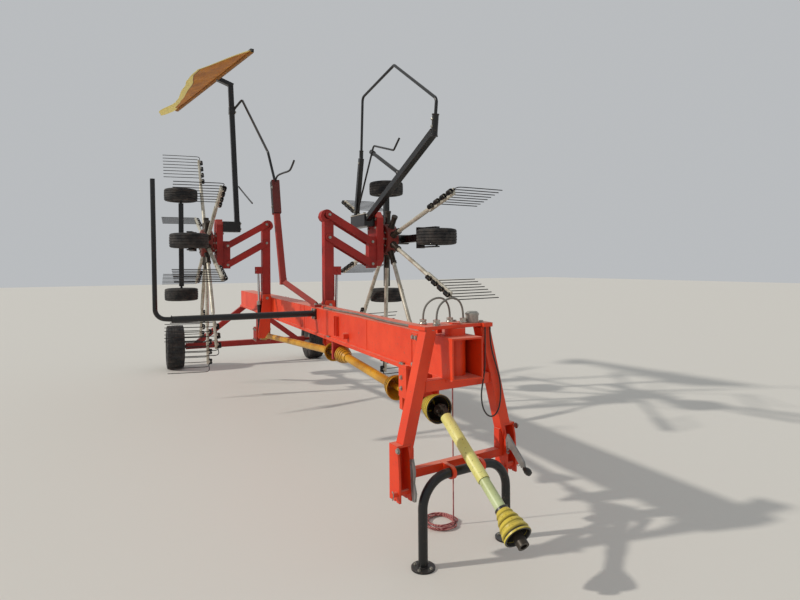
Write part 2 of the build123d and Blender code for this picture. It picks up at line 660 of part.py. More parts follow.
def make_front_shaft():
    start = JOINT_FRONT + shaft_way * FORK_BACK
    end = JOINT_FRONT + shaft_way * (SHAFT_LENGTH - YOKE_LENGTH)
    shaft = guarded(start, end, (FORK_WEB, 0, 0), (-YOKE_COVER, SMALL_BELL_RADIUS, 150),
                    tube_end=SHAFT_LENGTH * 0.66)
    # Fork on the sideways pin of the cross
    web = start + shaft_way * FORK_WEB
    shaft += along(start, web, Rectangle(2 * FORK_OUTER, 2 * FORK_HALF), side=(0, 1, 0))
    for side in (-1, 1):
        middle = Vector(0, side * (FORK_INNER + FORK_OUTER) / 2, 0)
        ear_way = FORK_OUTER - FORK_INNER
        shaft += along(JOINT_FRONT + middle, web + middle, Rectangle(ear_way, 2 * FORK_HALF),
                       side=(0, 1, 0))
        shaft += disc(JOINT_FRONT + middle, (0, 1, 0), CROSS_RADIUS + 8, ear_way)
        shaft -= disc(JOINT_FRONT + middle, (0, 1, 0), CROSS_RADIUS + RUN_GAP, 2 * ear_way)
    return shaft


def make_front_yoke():
    start = JOINT_FRONT + shaft_way * (SHAFT_LENGTH - YOKE_LENGTH + RUN_GAP)
    end = JOINT_FRONT + shaft_way * SHAFT_LENGTH
    yoke = rod(start, end, YOKE_RADIUS)
    return yoke - rod(end - shaft_way * YOKE_BORE_LENGTH, end + shaft_way * 10,
                      YOKE_BORE_RADIUS)


nodes["front_shaft"] = make_front_shaft()
nodes["front_yoke"] = make_front_yoke()


# Everything that folds, built once for each side
def make_boom(side, boom_x):
    y = side * BOOM_PIVOT_Y
    top = BOOM_PIVOT_Z + BOOM_LENGTH
    half = BOOM_SIDE / 2
    tube = block(boom_x - half, boom_x + half, y - half, y + half, BOOM_PIVOT_Z, top)
    tube += rod((boom_x - half, y, BOOM_PIVOT_Z), (boom_x + half, y, BOOM_PIVOT_Z), half)
    # Round boss across the top, proud on the inboard side, with a blind hole in each end
    boss = Vector(boom_x, y - side * BOSS_INBOARD, top - BOSS_INBOARD)
    tube += disc(boss, (1, 0, 0), BOSS_RADIUS, BOOM_SIDE)
    for end in (-1, 1):
        tube -= disc(boss + Vector(end * half, 0, 0), (1, 0, 0), BOSS_RADIUS / 2, BOOM_SIDE / 2)
    for z in (LINK_UPPER_Z, LINK_UPPER_Z - LINK_SPACING):
        reach = half + SIDE_GAP + LINK_PLATE + PIN_HEAD
        tube += rod((boom_x - reach, y, z), (boom_x + reach, y, z), LINK_PIN_RADIUS)
    tube -= rod((boom_x - BOOM_SIDE, y, BOOM_PIVOT_Z), (boom_x + BOOM_SIDE, y, BOOM_PIVOT_Z),
                BOOM_PIN_RADIUS + RUN_GAP)
    # Lugs for the cylinder's eye, far enough apart for its barrel to pass between them
    eye_y = y + side * CYL_EYE_OUT
    eye_z = BOOM_PIVOT_Z + CYL_EYE_UP
    for end in (-1, 1):
        x0 = boom_x + end * (CYL_EYE_WIDTH / 2 + EYE_GAP)
        x1 = x0 + end * EYE_LUG_THICK
        tube += block(x0, x1, y + side * (half - 1), eye_y + side * EYE_LUG_OUT,
                      eye_z - EYE_LUG_HALF, eye_z + EYE_LUG_HALF)
        tube += rod((x1, eye_y, eye_z), (x1 + end * PIN_HEAD / 2, eye_y, eye_z),
                    CYL_PIN_RADIUS + 5)
    return tube


link_out = LINK_LENGTH * cos(radians(LINK_DROP))
link_down = LINK_LENGTH * sin(radians(LINK_DROP))


def make_link(side, boom_x, z):
    y0, y1 = side * BOOM_PIVOT_Y, side * (BOOM_PIVOT_Y + link_out)
    z1 = z - link_down
    link = None
    for end in (-1, 1):
        x = boom_x + end * (BOOM_SIDE / 2 + SIDE_GAP + LINK_PLATE / 2)
        plate = bar((x, y0, z), (x, y1, z1), LINK_PLATE, LINK_WIDTH)
        plate += disc((x, y0, z), (1, 0, 0), LINK_WIDTH / 2, LINK_PLATE)
        plate += disc((x, y1, z1), (1, 0, 0), LINK_WIDTH / 2, LINK_PLATE)
        plate -= disc((x, y0, z), (1, 0, 0), LINK_PIN_RADIUS + RUN_GAP, 3 * LINK_PLATE)
        plate -= disc((x, y1, z1), (1, 0, 0), LINK_PIN_RADIUS + RUN_GAP, 3 * LINK_PLATE)
        link = plate if link is None else link + plate
    # Cross tube that ties the two plates together between the pins
    middle = ((y0 + y1) / 2, (z + z1) / 2)
    reach = BOOM_SIDE / 2 + SIDE_GAP + 1
    return link + rod((boom_x - reach, *middle), (boom_x + reach, *middle), 22)


def make_head(side, boom_x):
    pin_y = side * (BOOM_PIVOT_Y + link_out)
    upper = LINK_UPPER_Z - link_down
    lower = upper - LINK_SPACING
    half = BOOM_SIDE / 2
    hub_x = boom_x - HUB_BEHIND_BOOM
    face = side * HEAD_OUT
    head = block(boom_x - half, boom_x + half, pin_y - side * 34, face, lower - 45, upper + 60)
    for z in (upper, lower):
        reach = half + SIDE_GAP + LINK_PLATE + PIN_HEAD
        head += rod((boom_x - reach, pin_y, z), (boom_x + reach, pin_y, z), LINK_PIN_RADIUS)
    case = block(hub_x - 140, hub_x + 140, face, side * (HEAD_OUT + 75), HUB_Z - 300, HUB_Z + 300)
    head += chamfer(case.edges().filter_by(Axis.Y), 70)
    head += rod((hub_x, side * (HEAD_OUT + 70), HUB_Z), (hub_x, side * (ROTOR_OUT - 80), HUB_Z),
                110)
    # Fixed shaft through the rotor to the chassis below it
    head += rod((hub_x, side * (HEAD_OUT + 70), HUB_Z),
                (hub_x, side * (ROTOR_OUT + 105), HUB_Z), HUB_SHAFT_RADIUS)
    return head


def make_chassis(side, boom_x):
    hub_x = boom_x - HUB_BEHIND_BOOM
    deck = side * (ROTOR_OUT + 105 + RUN_GAP)
    y = side * (RUNNER_OUT - 60)
    frame = rod((hub_x, deck, HUB_Z), (hub_x, side * RUNNER_OUT, HUB_Z), 55)
    frame += bar((hub_x - RUNNER_BACK, y, HUB_Z), (hub_x + RUNNER_FRONT - 260, y, HUB_Z), 80, 80,
                 side=(0, 0, 1))
    rear_x = hub_x - RUNNER_BACK
    inner = RUNNER_SPREAD - RUNNER_WIDTH / 2 - 25
    frame += bar((rear_x, side * RUNNER_OUT, HUB_Z - inner),
                 (rear_x, side * RUNNER_OUT, HUB_Z + inner), 60, 60)
    frame += block(rear_x - 30, rear_x + 40, side * (RUNNER_OUT - 100), side * (RUNNER_OUT + 30),
                   HUB_Z - 40, HUB_Z + 40)
    for end in (-1, 1):
        frame += rod((rear_x, side * RUNNER_OUT, HUB_Z + end * (inner - 5)),
                     (rear_x, side * RUNNER_OUT, HUB_Z + end * (RUNNER_SPREAD + 50)), 15)
    # Fork for the front wheel
    front_x = hub_x + RUNNER_FRONT
    fork = RUNNER_WIDTH / 2 + 18
    frame += block(front_x - 270, front_x - 225, y - 40, y + 40, HUB_Z - fork - 12,
                   HUB_Z + fork + 12)
    for end in (-1, 1):
        frame += bar((front_x - 235, y, HUB_Z + end * fork),
                     (front_x + 20, side * RUNNER_OUT, HUB_Z + end * fork), 60, 14,
                     side=(0, 1, 0))
    frame += rod((front_x, side * RUNNER_OUT, HUB_Z - fork - 4),
                 (front_x, side * RUNNER_OUT, HUB_Z + fork + 4), 12)
    return frame


def make_tine(reach, side):
    """One spring tine: along the arm a little, then sideways to the ground side."""
    length = TINE_TIP_OUT - ROTOR_OUT
    outline = Polyline((0, 0), (TINE_ALONG, -TINE_SET), (TINE_ALONG, length),
                       (TINE_ALONG - TINE_SIDE, length), (TINE_ALONG - TINE_SIDE, 0),
                       (0, TINE_SIDE), close=True)
    plane = Plane(origin=(reach - TINE_ALONG, 0, 0), x_dir=(1, 0, 0), z_dir=(0, 0, side))
    return extrude(plane * make_face(outline), amount=TINE_SIDE / 2, both=True)


def make_rotor(side, boom_x, phase, missing):
    # Drum with its ring of sockets
    rotor = rod((0, -DRUM_HALF, 0), (0, DRUM_HALF, 0), DRUM_RADIUS)
    rotor -= rod((0, -2 * DRUM_HALF, 0), (0, 2 * DRUM_HALF, 0), HUB_SHAFT_RADIUS + RUN_GAP)
    arm = rod((ARM_INNER, 0, 0), (CARRIER_INNER + 20, 0, 0), ARM_RADIUS)
    stub = rod((ARM_INNER, 0, 0), (ARM_INNER + 170, 0, 0), ARM_RADIUS + 8)
    carrier = block(CARRIER_INNER, CARRIER_OUTER, -CARRIER_THICK / 2, CARRIER_THICK / 2,
                    -CARRIER_DEPTH / 2, CARRIER_DEPTH / 2)
    whole = arm + stub + carrier
    # The last tine's root is at the carrier's outer end
    first = CARRIER_INNER + TINE_START + TINE_ALONG
    step = (CARRIER_OUTER + TINE_ALONG - first) / (TINE_COUNT - 1)
    coil_y = -side * (CARRIER_THICK / 2 + COIL_RADIUS - 3)
    for number in range(TINE_COUNT):
        reach = first + number * step
        whole += make_tine(reach, side)
        if number % 2 == 0:
            # Each pair of tines is one spring, its coils side by side along the carrier
            root = reach - TINE_ALONG
            whole += along((root - COIL_MARGIN, coil_y, 0), (root + step + COIL_MARGIN, coil_y, 0),
                           RegularPolygon(COIL_RADIUS, 8), side=(0, 1, 0))
            hole_x = root - step / 2
            whole -= rod((hole_x, -CARRIER_THICK, 0), (hole_x, CARRIER_THICK, 0), HOLE_RADIUS)
    for number in range(ARM_COUNT):
        angle = phase - number * 360 / ARM_COUNT
        piece = stub if (ARM_COUNT - number) % ARM_COUNT in missing else whole
        rotor += Rot(0, -angle, 0) * piece
    return Pos(boom_x - HUB_BEHIND_BOOM, side * ROTOR_OUT, HUB_Z) * rotor


def make_cylinder(side, boom_x):
    foot = Vector(boom_x, side * CYL_FOOT_Y, CYL_FOOT_Z)
    eye = Vector(boom_x, side * (BOOM_PIVOT_Y + CYL_EYE_OUT), BOOM_PIVOT_Z + CYL_EYE_UP)
    way = (eye - foot).normalized()
    barrel_end = foot + way * CYL_BARREL_END
    barrel = rod(foot + way * 20, barrel_end, CYL_BARREL_RADIUS)
    barrel -= rod(foot + way * CYL_BORE_BOTTOM, barrel_end + way, CYL_ROD_RADIUS + RUN_GAP)
    barrel += disc(foot, (1, 0, 0), CYL_EYE_RADIUS, CYL_EYE_WIDTH)
    barrel -= disc(foot, (1, 0, 0), CYL_PIN_RADIUS + RUN_GAP, 2 * CYL_EYE_WIDTH)
    piston = rod(foot + way * CYL_ROD_START, eye - way * 15, CYL_ROD_RADIUS)
    piston += disc(eye, (1, 0, 0), CYL_EYE_RADIUS, CYL_EYE_WIDTH)
    piston -= disc(eye, (1, 0, 0), CYL_PIN_RADIUS + RUN_GAP, 2 * CYL_EYE_WIDTH)
    return barrel, piston


for name, side, boom_x, phase, missing in ROTORS:
    nodes["boom_" + name] = make_boom(side, boom_x)
    nodes["link_upper_" + name] = make_link(side, boom_x, LINK_UPPER_Z)
    nodes["link_lower_" + name] = make_link(side, boom_x, LINK_UPPER_Z - LINK_SPACING)
    nodes["rotor_head_" + name] = make_head(side, boom_x)
    nodes["rotor_chassis_" + name] = make_chassis(side, boom_x)
    nodes["rotor_" + name] = make_rotor(side, boom_x, phase, missing)
    barrel, piston = make_cylinder(side, boom_x)
    nodes["lift_barrel_" + name] = barrel
    nodes["lift_rod_" + name] = piston
    hub_x = boom_x - HUB_BEHIND_BOOM
    # Wheels under the rotor: place, distance ahead of the hub, distance across
    for place, ahead, across in (("upper", -RUNNER_BACK, RUNNER_SPREAD),
                                 ("lower", -RUNNER_BACK, -RUNNER_SPREAD),
                                 ("front", RUNNER_FRONT, 0)):
        centre = (hub_x + ahead, side * RUNNER_OUT, HUB_Z + across)
        bore = (12 if place == "front" else 15) + RUN_GAP
        nodes[f"runner_tyre_{name}_{place}"] = tyre(centre, (0, 0, 1), RUNNER_RADIUS,
                                                    RUNNER_WIDTH, RUNNER_RIM)
        nodes[f"runner_rim_{name}_{place}"] = rim(centre, (0, 0, 1), RUNNER_RIM, RUNNER_WIDTH,
                                                  40, bore)

# Guard hoop over the left rotor: a base on the rotor head, two square arms and a bent pipe.
# Places are (distance ahead of the boom, height) in the hoop's own upright plane.
HOOP_REAR_ARM = [(-366, 2120), (-186, 2833)]
HOOP_FRONT_ARM = [(-56, 2120), (1512, 2760)]
HOOP_PIPE = [(-186, 2820), (-130, 3505), (714, 3590), (1560, 3030), (1515, 2740)]
HOOP_BEND = 60
CRANK_TUBE = [(140, 2840), (840, 2500)]
CRANK_HANDLE = [(-350, 2190), (180, 2905), (690, 2760), (820, 2850)]
CRANK_BEND = 40
CRANK_RADIUS = 10
CRANK_TUBE_RADIUS = 19


def make_hoop():
    side, boom_x = ROTORS[0][1], ROTORS[0][2]

    def place(spot):
        return (boom_x + spot[0], side * HOOP_OUT, spot[1])

    base = block(boom_x - 420, boom_x + 10, side * (HEAD_OUT - 125), side * (HEAD_OUT - RUN_GAP),
                 MAST_BASE_Z, MAST_BASE_Z + MAST_BASE_HEIGHT)
    hoop = base + bar(place(HOOP_REAR_ARM[0]), place(HOOP_REAR_ARM[1]), 50, 50, (0, 1, 0))
    hoop += bar(place(HOOP_FRONT_ARM[0]), place(HOOP_FRONT_ARM[1]), 60, 60, (0, 1, 0))
    hoop += bent_pipe([place(spot) for spot in HOOP_PIPE], HOOP_BEND, HOOP_RADIUS)
    # Crank that sets the hoop's angle: a tube on the front arm and a bent handle
    hoop += rod(place(CRANK_TUBE[0]), place(CRANK_TUBE[1]), CRANK_TUBE_RADIUS)
    return hoop + bent_pipe([place(spot) for spot in CRANK_HANDLE], CRANK_BEND, CRANK_RADIUS)


nodes["guard_hoop_left"] = make_hoop()

# Swath cloth on the right rotor head: post, bar with its bracket, guard pipe, and the cloth.
# Places on the guard pipe and its crank are (ahead of the boom, across, height).
PIPE_POINTS = [(-10, -565, 3600), (200, -480, 3700), (1130, -360, 2880),
               (REST_TOP[0] - ROTORS[1][2], REST_TOP[1], REST_TOP[2] + 8)]
POST_SIDE = 60
# The cloth's outline from the front end of its bar: (along the bar, down the cloth)
CLOTH_OUTLINE = [(0, 0), (491, 448), (1044, 395), (2050, 212), (2330, 182), (2500, 362),
                 (2640, 312)]


def make_cloth_post():
    boom_x = ROTORS[1][2]
    base = block(boom_x - 30, boom_x + 90, -(HEAD_OUT - RUN_GAP), -(POST_OUT - 30),
                 MAST_BASE_Z, MAST_BASE_Z + MAST_BASE_HEIGHT)
    foot = (boom_x + 30, -POST_OUT, MAST_BASE_Z + 10)
    post = base + bar(foot, POST_TOP, POST_SIDE, POST_SIDE)
    bracket = (POST_TOP[0], CLOTH_FRONT[1] + (CLOTH_REAR[1] - CLOTH_FRONT[1])
               * (POST_TOP[0] - CLOTH_FRONT[0]) / (CLOTH_REAR[0] - CLOTH_FRONT[0]),
               CLOTH_FRONT[2])
    post += bar((POST_TOP[0], POST_TOP[1] + 30, POST_TOP[2] - 15), bracket, 70, 50)
    post += bar(CLOTH_FRONT, CLOTH_REAR, CLOTH_BAR, CLOTH_BAR, (0, 0, 1))
    # Clamp where the guard pipe leaves the post
    post += block(boom_x - 35, boom_x + 50, -610, -540, 3560, 3650)
    pipe = [(boom_x + ahead, across, height) for ahead, across, height in PIPE_POINTS]
    return post + bent_pipe(pipe, HOOP_BEND, HOOP_RADIUS)


def make_cloth():
    way = Vector(CLOTH_REAR) - Vector(CLOTH_FRONT)
    fall = Vector(0, -1, -CLOTH_FALL)
    fall = (fall - way.normalized() * fall.dot(way.normalized())).normalized()
    level = (1 - fall.Z ** 2) ** 0.5
    clear = (CLOTH_BAR / 2 + RUN_GAP + CLOTH_THICK / 2 * abs(fall.Z)) / level
    plane = Plane(origin=Vector(CLOTH_FRONT) + fall * clear, x_dir=way, z_dir=way.cross(fall))
    sign = 1 if plane.y_dir.dot(fall) > 0 else -1
    outline = CLOTH_OUTLINE + [(way.length, 0)]
    face = make_face(Polyline(*[(x, sign * y) for x, y in outline], close=True))
    return extrude(plane * face, amount=CLOTH_THICK / 2, both=True)


nodes["cloth_post"] = make_cloth_post()
nodes["swath_cloth"] = make_cloth()

# Rest on the beam under the foot of the guard pipe: from the beam, out to a knee, and up
REST_FOOT = (-2150, -60)
REST_KNEE = (-2520, -300, 1470)
REST_NECK = (-2790, -300, 2195)
REST_SIDE = 60
REST_HEAD_SIDE = 84


def make_rest():
    rest = bar((REST_FOOT[0], REST_FOOT[1], BEAM_TOP + 20), REST_KNEE, REST_SIDE - 10,
               REST_SIDE - 10)
    rest += bar(REST_KNEE, REST_NECK, REST_SIDE, REST_SIDE, (0, 1, 0))
    rest += Pos(*REST_KNEE) * Box(REST_SIDE + 2, REST_SIDE + 2, REST_SIDE + 10)
    rest += bar(REST_NECK, REST_TOP, REST_HEAD_SIDE, REST_HEAD_SIDE, (0, 1, 0))
    rest -= block(REST_FOOT[0] - 250, REST_FOOT[0] + 250, -BEAM_WIDTH, BEAM_WIDTH,
                  BEAM_TOP - BEAM_DEPTH, BEAM_TOP)
    return rest + block(REST_FOOT[0] - 80, REST_FOOT[0] + 80, REST_FOOT[1] - 35,
                        REST_FOOT[1] + 35, BEAM_TOP, BEAM_TOP + 25)


nodes["pipe_rest"] = make_rest()

# Front side guard: a cross tube on the beam and an upright pipe
GUARD_X = -2040
GUARD_Z = 1165
GUARD_TUBE_RADIUS = 30
GUARD_PIPE = [(-1380, GUARD_Z), (-1530, GUARD_Z + 15), (-1545, 2390)]
GUARD_BEND = 90
GUARD_PIPE_RADIUS = 20


def make_side_guard():
    seat = -BEAM_WIDTH / 2
    guard = rod((GUARD_X, seat - 1, GUARD_Z), (GUARD_X, -1400, GUARD_Z), GUARD_TUBE_RADIUS)
    guard += block(GUARD_X - 40, GUARD_X + 40, seat - 16, seat, GUARD_Z - 55, GUARD_Z + 45)
    return guard + bent_pipe([(GUARD_X, y, z) for y, z in GUARD_PIPE], GUARD_BEND,
                             GUARD_PIPE_RADIUS)


nodes["side_guard"] = make_side_guard()

# Cords, as plain tubes: straight runs joined by arcs as large as the runs allow
def cord(name, points, diameter):
    ways = [Vector(end) - Vector(start) for start, end in zip(points, points[1:])]
    radii = [0.45 * min(before.length, after.length) / tan(radians(before.get_angle(after)) / 2)
             for before, after in zip(ways, ways[1:])]
    path = FilletPolyline(*points, radius=radii)
    plane = Plane(origin=points[0], z_dir=ways[0])
    tube = sweep(plane * Circle(diameter / 2), path=path)
    solid = 3.14159265 * diameter ** 2 / 4 * path.length
    print(name, "length", round(path.length), "volume over section times length",
          round(tube.volume / solid, 4), "radii", [round(radius) for radius in radii])
    return tube


# Pull rope: it hangs from a clip under the beam, on to its own loose coil on the ground
rope_end = (ROPE_X, ROPE_Y, BOX_BOTTOM - ROPE_CLIP)
nodes["rope_pull"] = rod(rope_end, (ROPE_X, ROPE_Y, COIL_HIGH + RUN_GAP), ROPE_DIAMETER / 2)
nodes["rope_coil"] = turned(COIL_MIDDLE, (0, 0, 1), [
    (0, COIL_OUTER - 8), (8, COIL_OUTER), (COIL_HIGH, COIL_OUTER - 12),
    (COIL_HIGH, COIL_INNER + 12), (8, COIL_INNER), (0, COIL_INNER + 8)])

# Light cable: a loop that hangs from a clip on the headstock's top plate, before the left leg
clip_foot = PLATE_TOP - CABLE_CLIP_DEEP
CABLE_LOOP = [(184, clip_foot), (184, 1180), (182, 1090), (179, 1002), (163, 932), (150, 866),
              (158, 800), (182, 750), (220, 724), (258, 728), (288, 762), (302, 818), (305, 884),
              (294, 954), (270, 1024), (242, 1096), (222, 1180), (222, clip_foot)]
nodes["cable_loop"] = swivelled(cord(
    "cable_loop", [(CABLE_AHEAD, across, height) for across, height in CABLE_LOOP],
    CABLE_DIAMETER))

# Oil hose along the top of the beam, from one gland to the other: (along, across)
HOSE_ROUTE = [(262, -30), (140, -30), (0, -38), (-170, -54), (-350, -62), (-540, -58),
              (-720, -45), (-900, -34), (-1080, -31), (-1260, -41), (-1440, -55), (-1620, -61),
              (-1780, -54), (-1900, -54)]
hose_z = BEAM_TOP + HOSE_DIAMETER / 2 + RUN_GAP
nodes["hose_beam"] = cord("hose_beam", [(x, y, hose_z) for x, y in HOSE_ROUTE], HOSE_DIAMETER)

# Two hoses that arch from their glands on the headstock's top plate to their parked couplings
for name, (ahead, across) in zip(("hose_coupler_rear", "hose_coupler_front"), HOSE_GLANDS):
    low = PLATE_TOP + HOSE_GLAND_HIGH + RUN_GAP
    arch = [(ahead + lean, across + shift, low + rise) for lean, shift, rise in (
        (0, 0, 0), (0, 0, 62), (14, 57, 119), (16, 137, 122), (0, HOSE_SPAN, 62),
        (0, HOSE_SPAN, 0))]
    nodes[name] = swivelled(cord(name, arch, COUPLER_HOSE_DIAMETER))

CORDS = ("rope_pull", "rope_coil", "cable_loop", "hose_beam", "hose_coupler_rear",
         "hose_coupler_front")

# Move the origin to the ground under the middle of the machine, without its cords
boxes = [shape.bounding_box() for name, shape in nodes.items() if name not in CORDS]
ORIGIN = (-(min(box.min.X for box in boxes) + max(box.max.X for box in boxes)) / 2,
          -(min(box.min.Y for box in boxes) + max(box.max.Y for box in boxes)) / 2, 0)

os.makedirs("parts", exist_ok=True)
for name, shape in nodes.items():
    export_step(Pos(*ORIGIN) * shape, f"parts/{name}.step")
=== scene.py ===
import math

import bpy
from mathutils import Matrix, Vector


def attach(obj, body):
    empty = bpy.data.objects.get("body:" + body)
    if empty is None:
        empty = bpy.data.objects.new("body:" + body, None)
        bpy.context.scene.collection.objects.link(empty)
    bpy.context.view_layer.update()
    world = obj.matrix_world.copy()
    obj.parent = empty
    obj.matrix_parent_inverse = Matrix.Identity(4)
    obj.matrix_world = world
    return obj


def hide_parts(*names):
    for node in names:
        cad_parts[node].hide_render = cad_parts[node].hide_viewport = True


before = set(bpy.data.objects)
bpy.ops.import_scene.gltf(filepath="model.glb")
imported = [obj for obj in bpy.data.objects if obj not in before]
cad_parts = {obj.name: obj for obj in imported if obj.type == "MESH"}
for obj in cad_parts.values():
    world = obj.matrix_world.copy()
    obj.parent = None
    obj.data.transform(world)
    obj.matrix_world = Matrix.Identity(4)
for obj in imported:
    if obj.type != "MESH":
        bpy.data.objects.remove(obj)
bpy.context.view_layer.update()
bpy.ops.object.select_all(action="DESELECT")

# Camera: a wide lens held level at eye height, ahead of the rake and to its right,
# with the frame shifted down so that the feet of the parking stand come into it.
eye = Vector((6.0058, -1.5511, 1.6288))
heading = math.radians(25.327)
look = Vector((-math.cos(heading), math.sin(heading), 0))
camera_data = bpy.data.cameras.new("camera")
camera_data.lens = 24.875
camera_data.sensor_width = 36
camera_data.shift_y = -0.0436
camera = bpy.data.objects.new("camera", camera_data)
bpy.context.scene.collection.objects.link(camera)
turn = look.to_track_quat("-Z", "Y").to_matrix().to_4x4()
lean = Matrix.Rotation(math.radians(-0.404), 4, "Z")
camera.matrix_world = Matrix.Translation(eye) @ turn @ lean
bpy.context.scene.camera = camera
bpy.context.scene.view_settings.view_transform = "Standard"

# Light: an even pale sky, and a low sun from the left, a little behind the rake, which
# lights the right side of the beam and leaves the headstock's front in its own shade.
world = bpy.data.worlds.new("sky")
bpy.context.scene.world = world
world.use_nodes = True
world.node_tree.nodes["Background"].inputs["Color"].default_value = (0.94, 0.97, 1.0, 1)
world.node_tree.nodes["Background"].inputs["Strength"].default_value = 0.52
sun_data = bpy.data.lights.new("sun", "SUN")
sun_data.energy = 2.2
sun_data.color = (1.0, 0.95, 0.87)
sun_data.angle = math.radians(2)
sun = bpy.data.objects.new("sun", sun_data)
bpy.context.scene.collection.objects.link(sun)
sunbeams = Vector((0.22, 0.86, -0.55))
sun.rotation_euler = sunbeams.to_track_quat("-Z", "Y").to_euler()

# Floor: a plain pale ground under the rake. It belongs to the studio and not to the
# machine, so it is only staged, and it takes the machine's shadow.
def linear(shade):
    """The linear values of an sRGB hex colour, as a colour socket takes them."""
    parts = [int(shade[i:i + 2], 16) / 255 for i in (1, 3, 5)]
    return [*(p / 12.92 if p <= 0.04045 else ((p + 0.055) / 1.055) ** 2.4 for p in parts), 1]


def add_node(finish, kind, settings=None, links=None):
    """Adds one shader node, with its settings and with what is plugged into it."""
    node = finish.node_tree.nodes.new("ShaderNode" + kind)
    for name, value in (settings or {}).items():
        if name == "stops":
            for stop, (place, grey) in zip(node.color_ramp.elements, value):
                stop.position = place
                stop.color = (grey, grey, grey, 1)
        elif isinstance(name, str) and hasattr(node, name):
            setattr(node, name, value)
        else:
            node.inputs[name].default_value = value
    for socket, source in (links or {}).items():
        finish.node_tree.links.new(source, node.inputs[socket])
    return node


def new_finish(name):
    """An empty material, for the section that works it out."""
    finish = bpy.data.materials.new(name)
    finish.use_nodes = True
    finish.node_tree.nodes.clear()
    return finish


bpy.ops.mesh.primitive_plane_add(size=90, location=(-4, 0, 0))
floor = bpy.context.object
floor.name = "floor"
pale_ground = new_finish("pale_ground")
dull = add_node(pale_ground, "BsdfPrincipled", {"Base Color": linear("#D6D3CC"), "Roughness": 0.9})
add_node(pale_ground, "OutputMaterial", None, {"Surface": dull.outputs[0]})
floor.data.materials.append(pale_ground)
floor.select_set(False)

# Pull rope: laid polypropylene of 9 mm, faded pink, that works the latch of the folded
# booms from the tractor's seat. It hangs from a clip under the beam, and the length that
# the driver has let go lies below it as a loose heap of rings.
chassis_front = Vector((2.814763, 0.107499, 0))


def spot(along, across, height):
    """A place on the rake in metres, from millimetres ahead of and beside its chassis."""
    return chassis_front + Vector((along, across, height)) / 1000


def pick(piece):
    """Selects this piece alone."""
    bpy.ops.object.select_all(action="DESELECT")
    piece.select_set(True)
    bpy.context.view_layer.objects.active = piece


def settle(piece, name, finish, slot, body, *nodes):
    """Names a finished piece, puts its place into its mesh, paints it and lets it ride."""
    pick(piece)
    bpy.ops.object.transform_apply(location=True, rotation=True, scale=True)
    piece.name = piece.data.name = name
    if finish:
        piece.data.materials.clear()
        piece.data.materials.append(finish)
    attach(piece, body)
    if nodes:
        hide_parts(*nodes)
    piece.select_set(False)
    return piece


def draw_bar(name, runs, radius, roundness, smoothness=0):
    """A round bar along each run of points: one smooth spline, or straight without smoothness."""
    path = bpy.data.curves.new(name, "CURVE")
    path.dimensions = "3D"
    path.bevel_depth = radius
    path.bevel_resolution = roundness
    path.use_fill_caps = True
    if smoothness:
        path.resolution_u = smoothness
    for run in runs:
        spline = path.splines.new("NURBS" if smoothness else "POLY")
        spline.points.add(len(run) - 1)
        for point, place in zip(spline.points, run):
            point.co = (*place, 1)
        if smoothness:
            spline.order_u = 3
            spline.use_endpoint_u = True
    bar = bpy.data.objects.new(name, path)
    bpy.context.scene.collection.objects.link(bar)
    return bar


def lay_cord(name, route, diameter, finish, slot, body, *nodes):
    """A cord: one smooth spline that has the points of its route as control points."""
    cord = draw_bar(name, [route], diameter / 2, 3, 6)
    return settle(cord, name, finish, slot, body, *nodes)


# The rope's fibre is dull, with paler worn strands across its lay every 12 mm.
faded_rope = new_finish("polypropylene_rope")
place = add_node(faded_rope, "TexCoord").outputs["Object"]
lay = add_node(faded_rope, "TexWave", {"Scale": 26, "Distortion": 2.5, "Detail": 2},
               {"Vector": place}).outputs["Fac"]
worn = add_node(faded_rope, "MixRGB", {"Color1": linear("#7E2A33"), "Color2": linear("#C48782")},
                {"Fac": lay}).outputs["Color"]
twist = add_node(faded_rope, "Bump", {"Strength": 0.6, "Distance": 0.002}, {"Height": lay})
fibre = add_node(faded_rope, "BsdfPrincipled", {"Roughness": 0.85},
                 {"Base Color": worn, "Normal": twist.outputs[0]})
add_node(faded_rope, "OutputMaterial", None, {"Surface": fibre.outputs[0]})

rope_route = [spot(200, 115, 963), spot(200, 115, 850), spot(200, 115, 120), spot(200, 115, 60),
              spot(201, 112, 34), spot(193, 124, 24)]
# Each turn of the heap: its middle (along, across), its radius and its height
rope_turns = [(140, 52, 94, 22), (150, 44, 106, 21), (132, 58, 78, 14), (144, 48, 116, 13),
              (134, 46, 92, 6), (148, 54, 104, 5.5)]
for number, (along, across, radius, height) in enumerate(rope_turns):
    for step in range(12):
        angle = math.radians(68 + 30 * step)
        wander = radius * (1 + 0.05 * math.sin(2.3 * angle + 1.7 * number))
        rope_route.append(spot(along + wander * math.cos(angle),
                               across + wander * math.sin(angle), height))
rope = lay_cord("pull_rope", rope_route, 0.009, faded_rope, "rope", "chassis",
                "rope_pull", "rope_coil")

# Light cable: black PVC of 9 mm, the tractor's feed for the rear lamps, hung up as a long
# loop. Both its ends go up into a clip under the headstock's top plate.
def at_hitch(ahead, across, height):
    """A place on the headstock, which stands turned seven degrees on its swivel pin."""
    swung = Matrix.Rotation(math.radians(7), 3, "Z") @ Vector((ahead, across, height))
    return spot(426, 0, 0) + swung / 1000


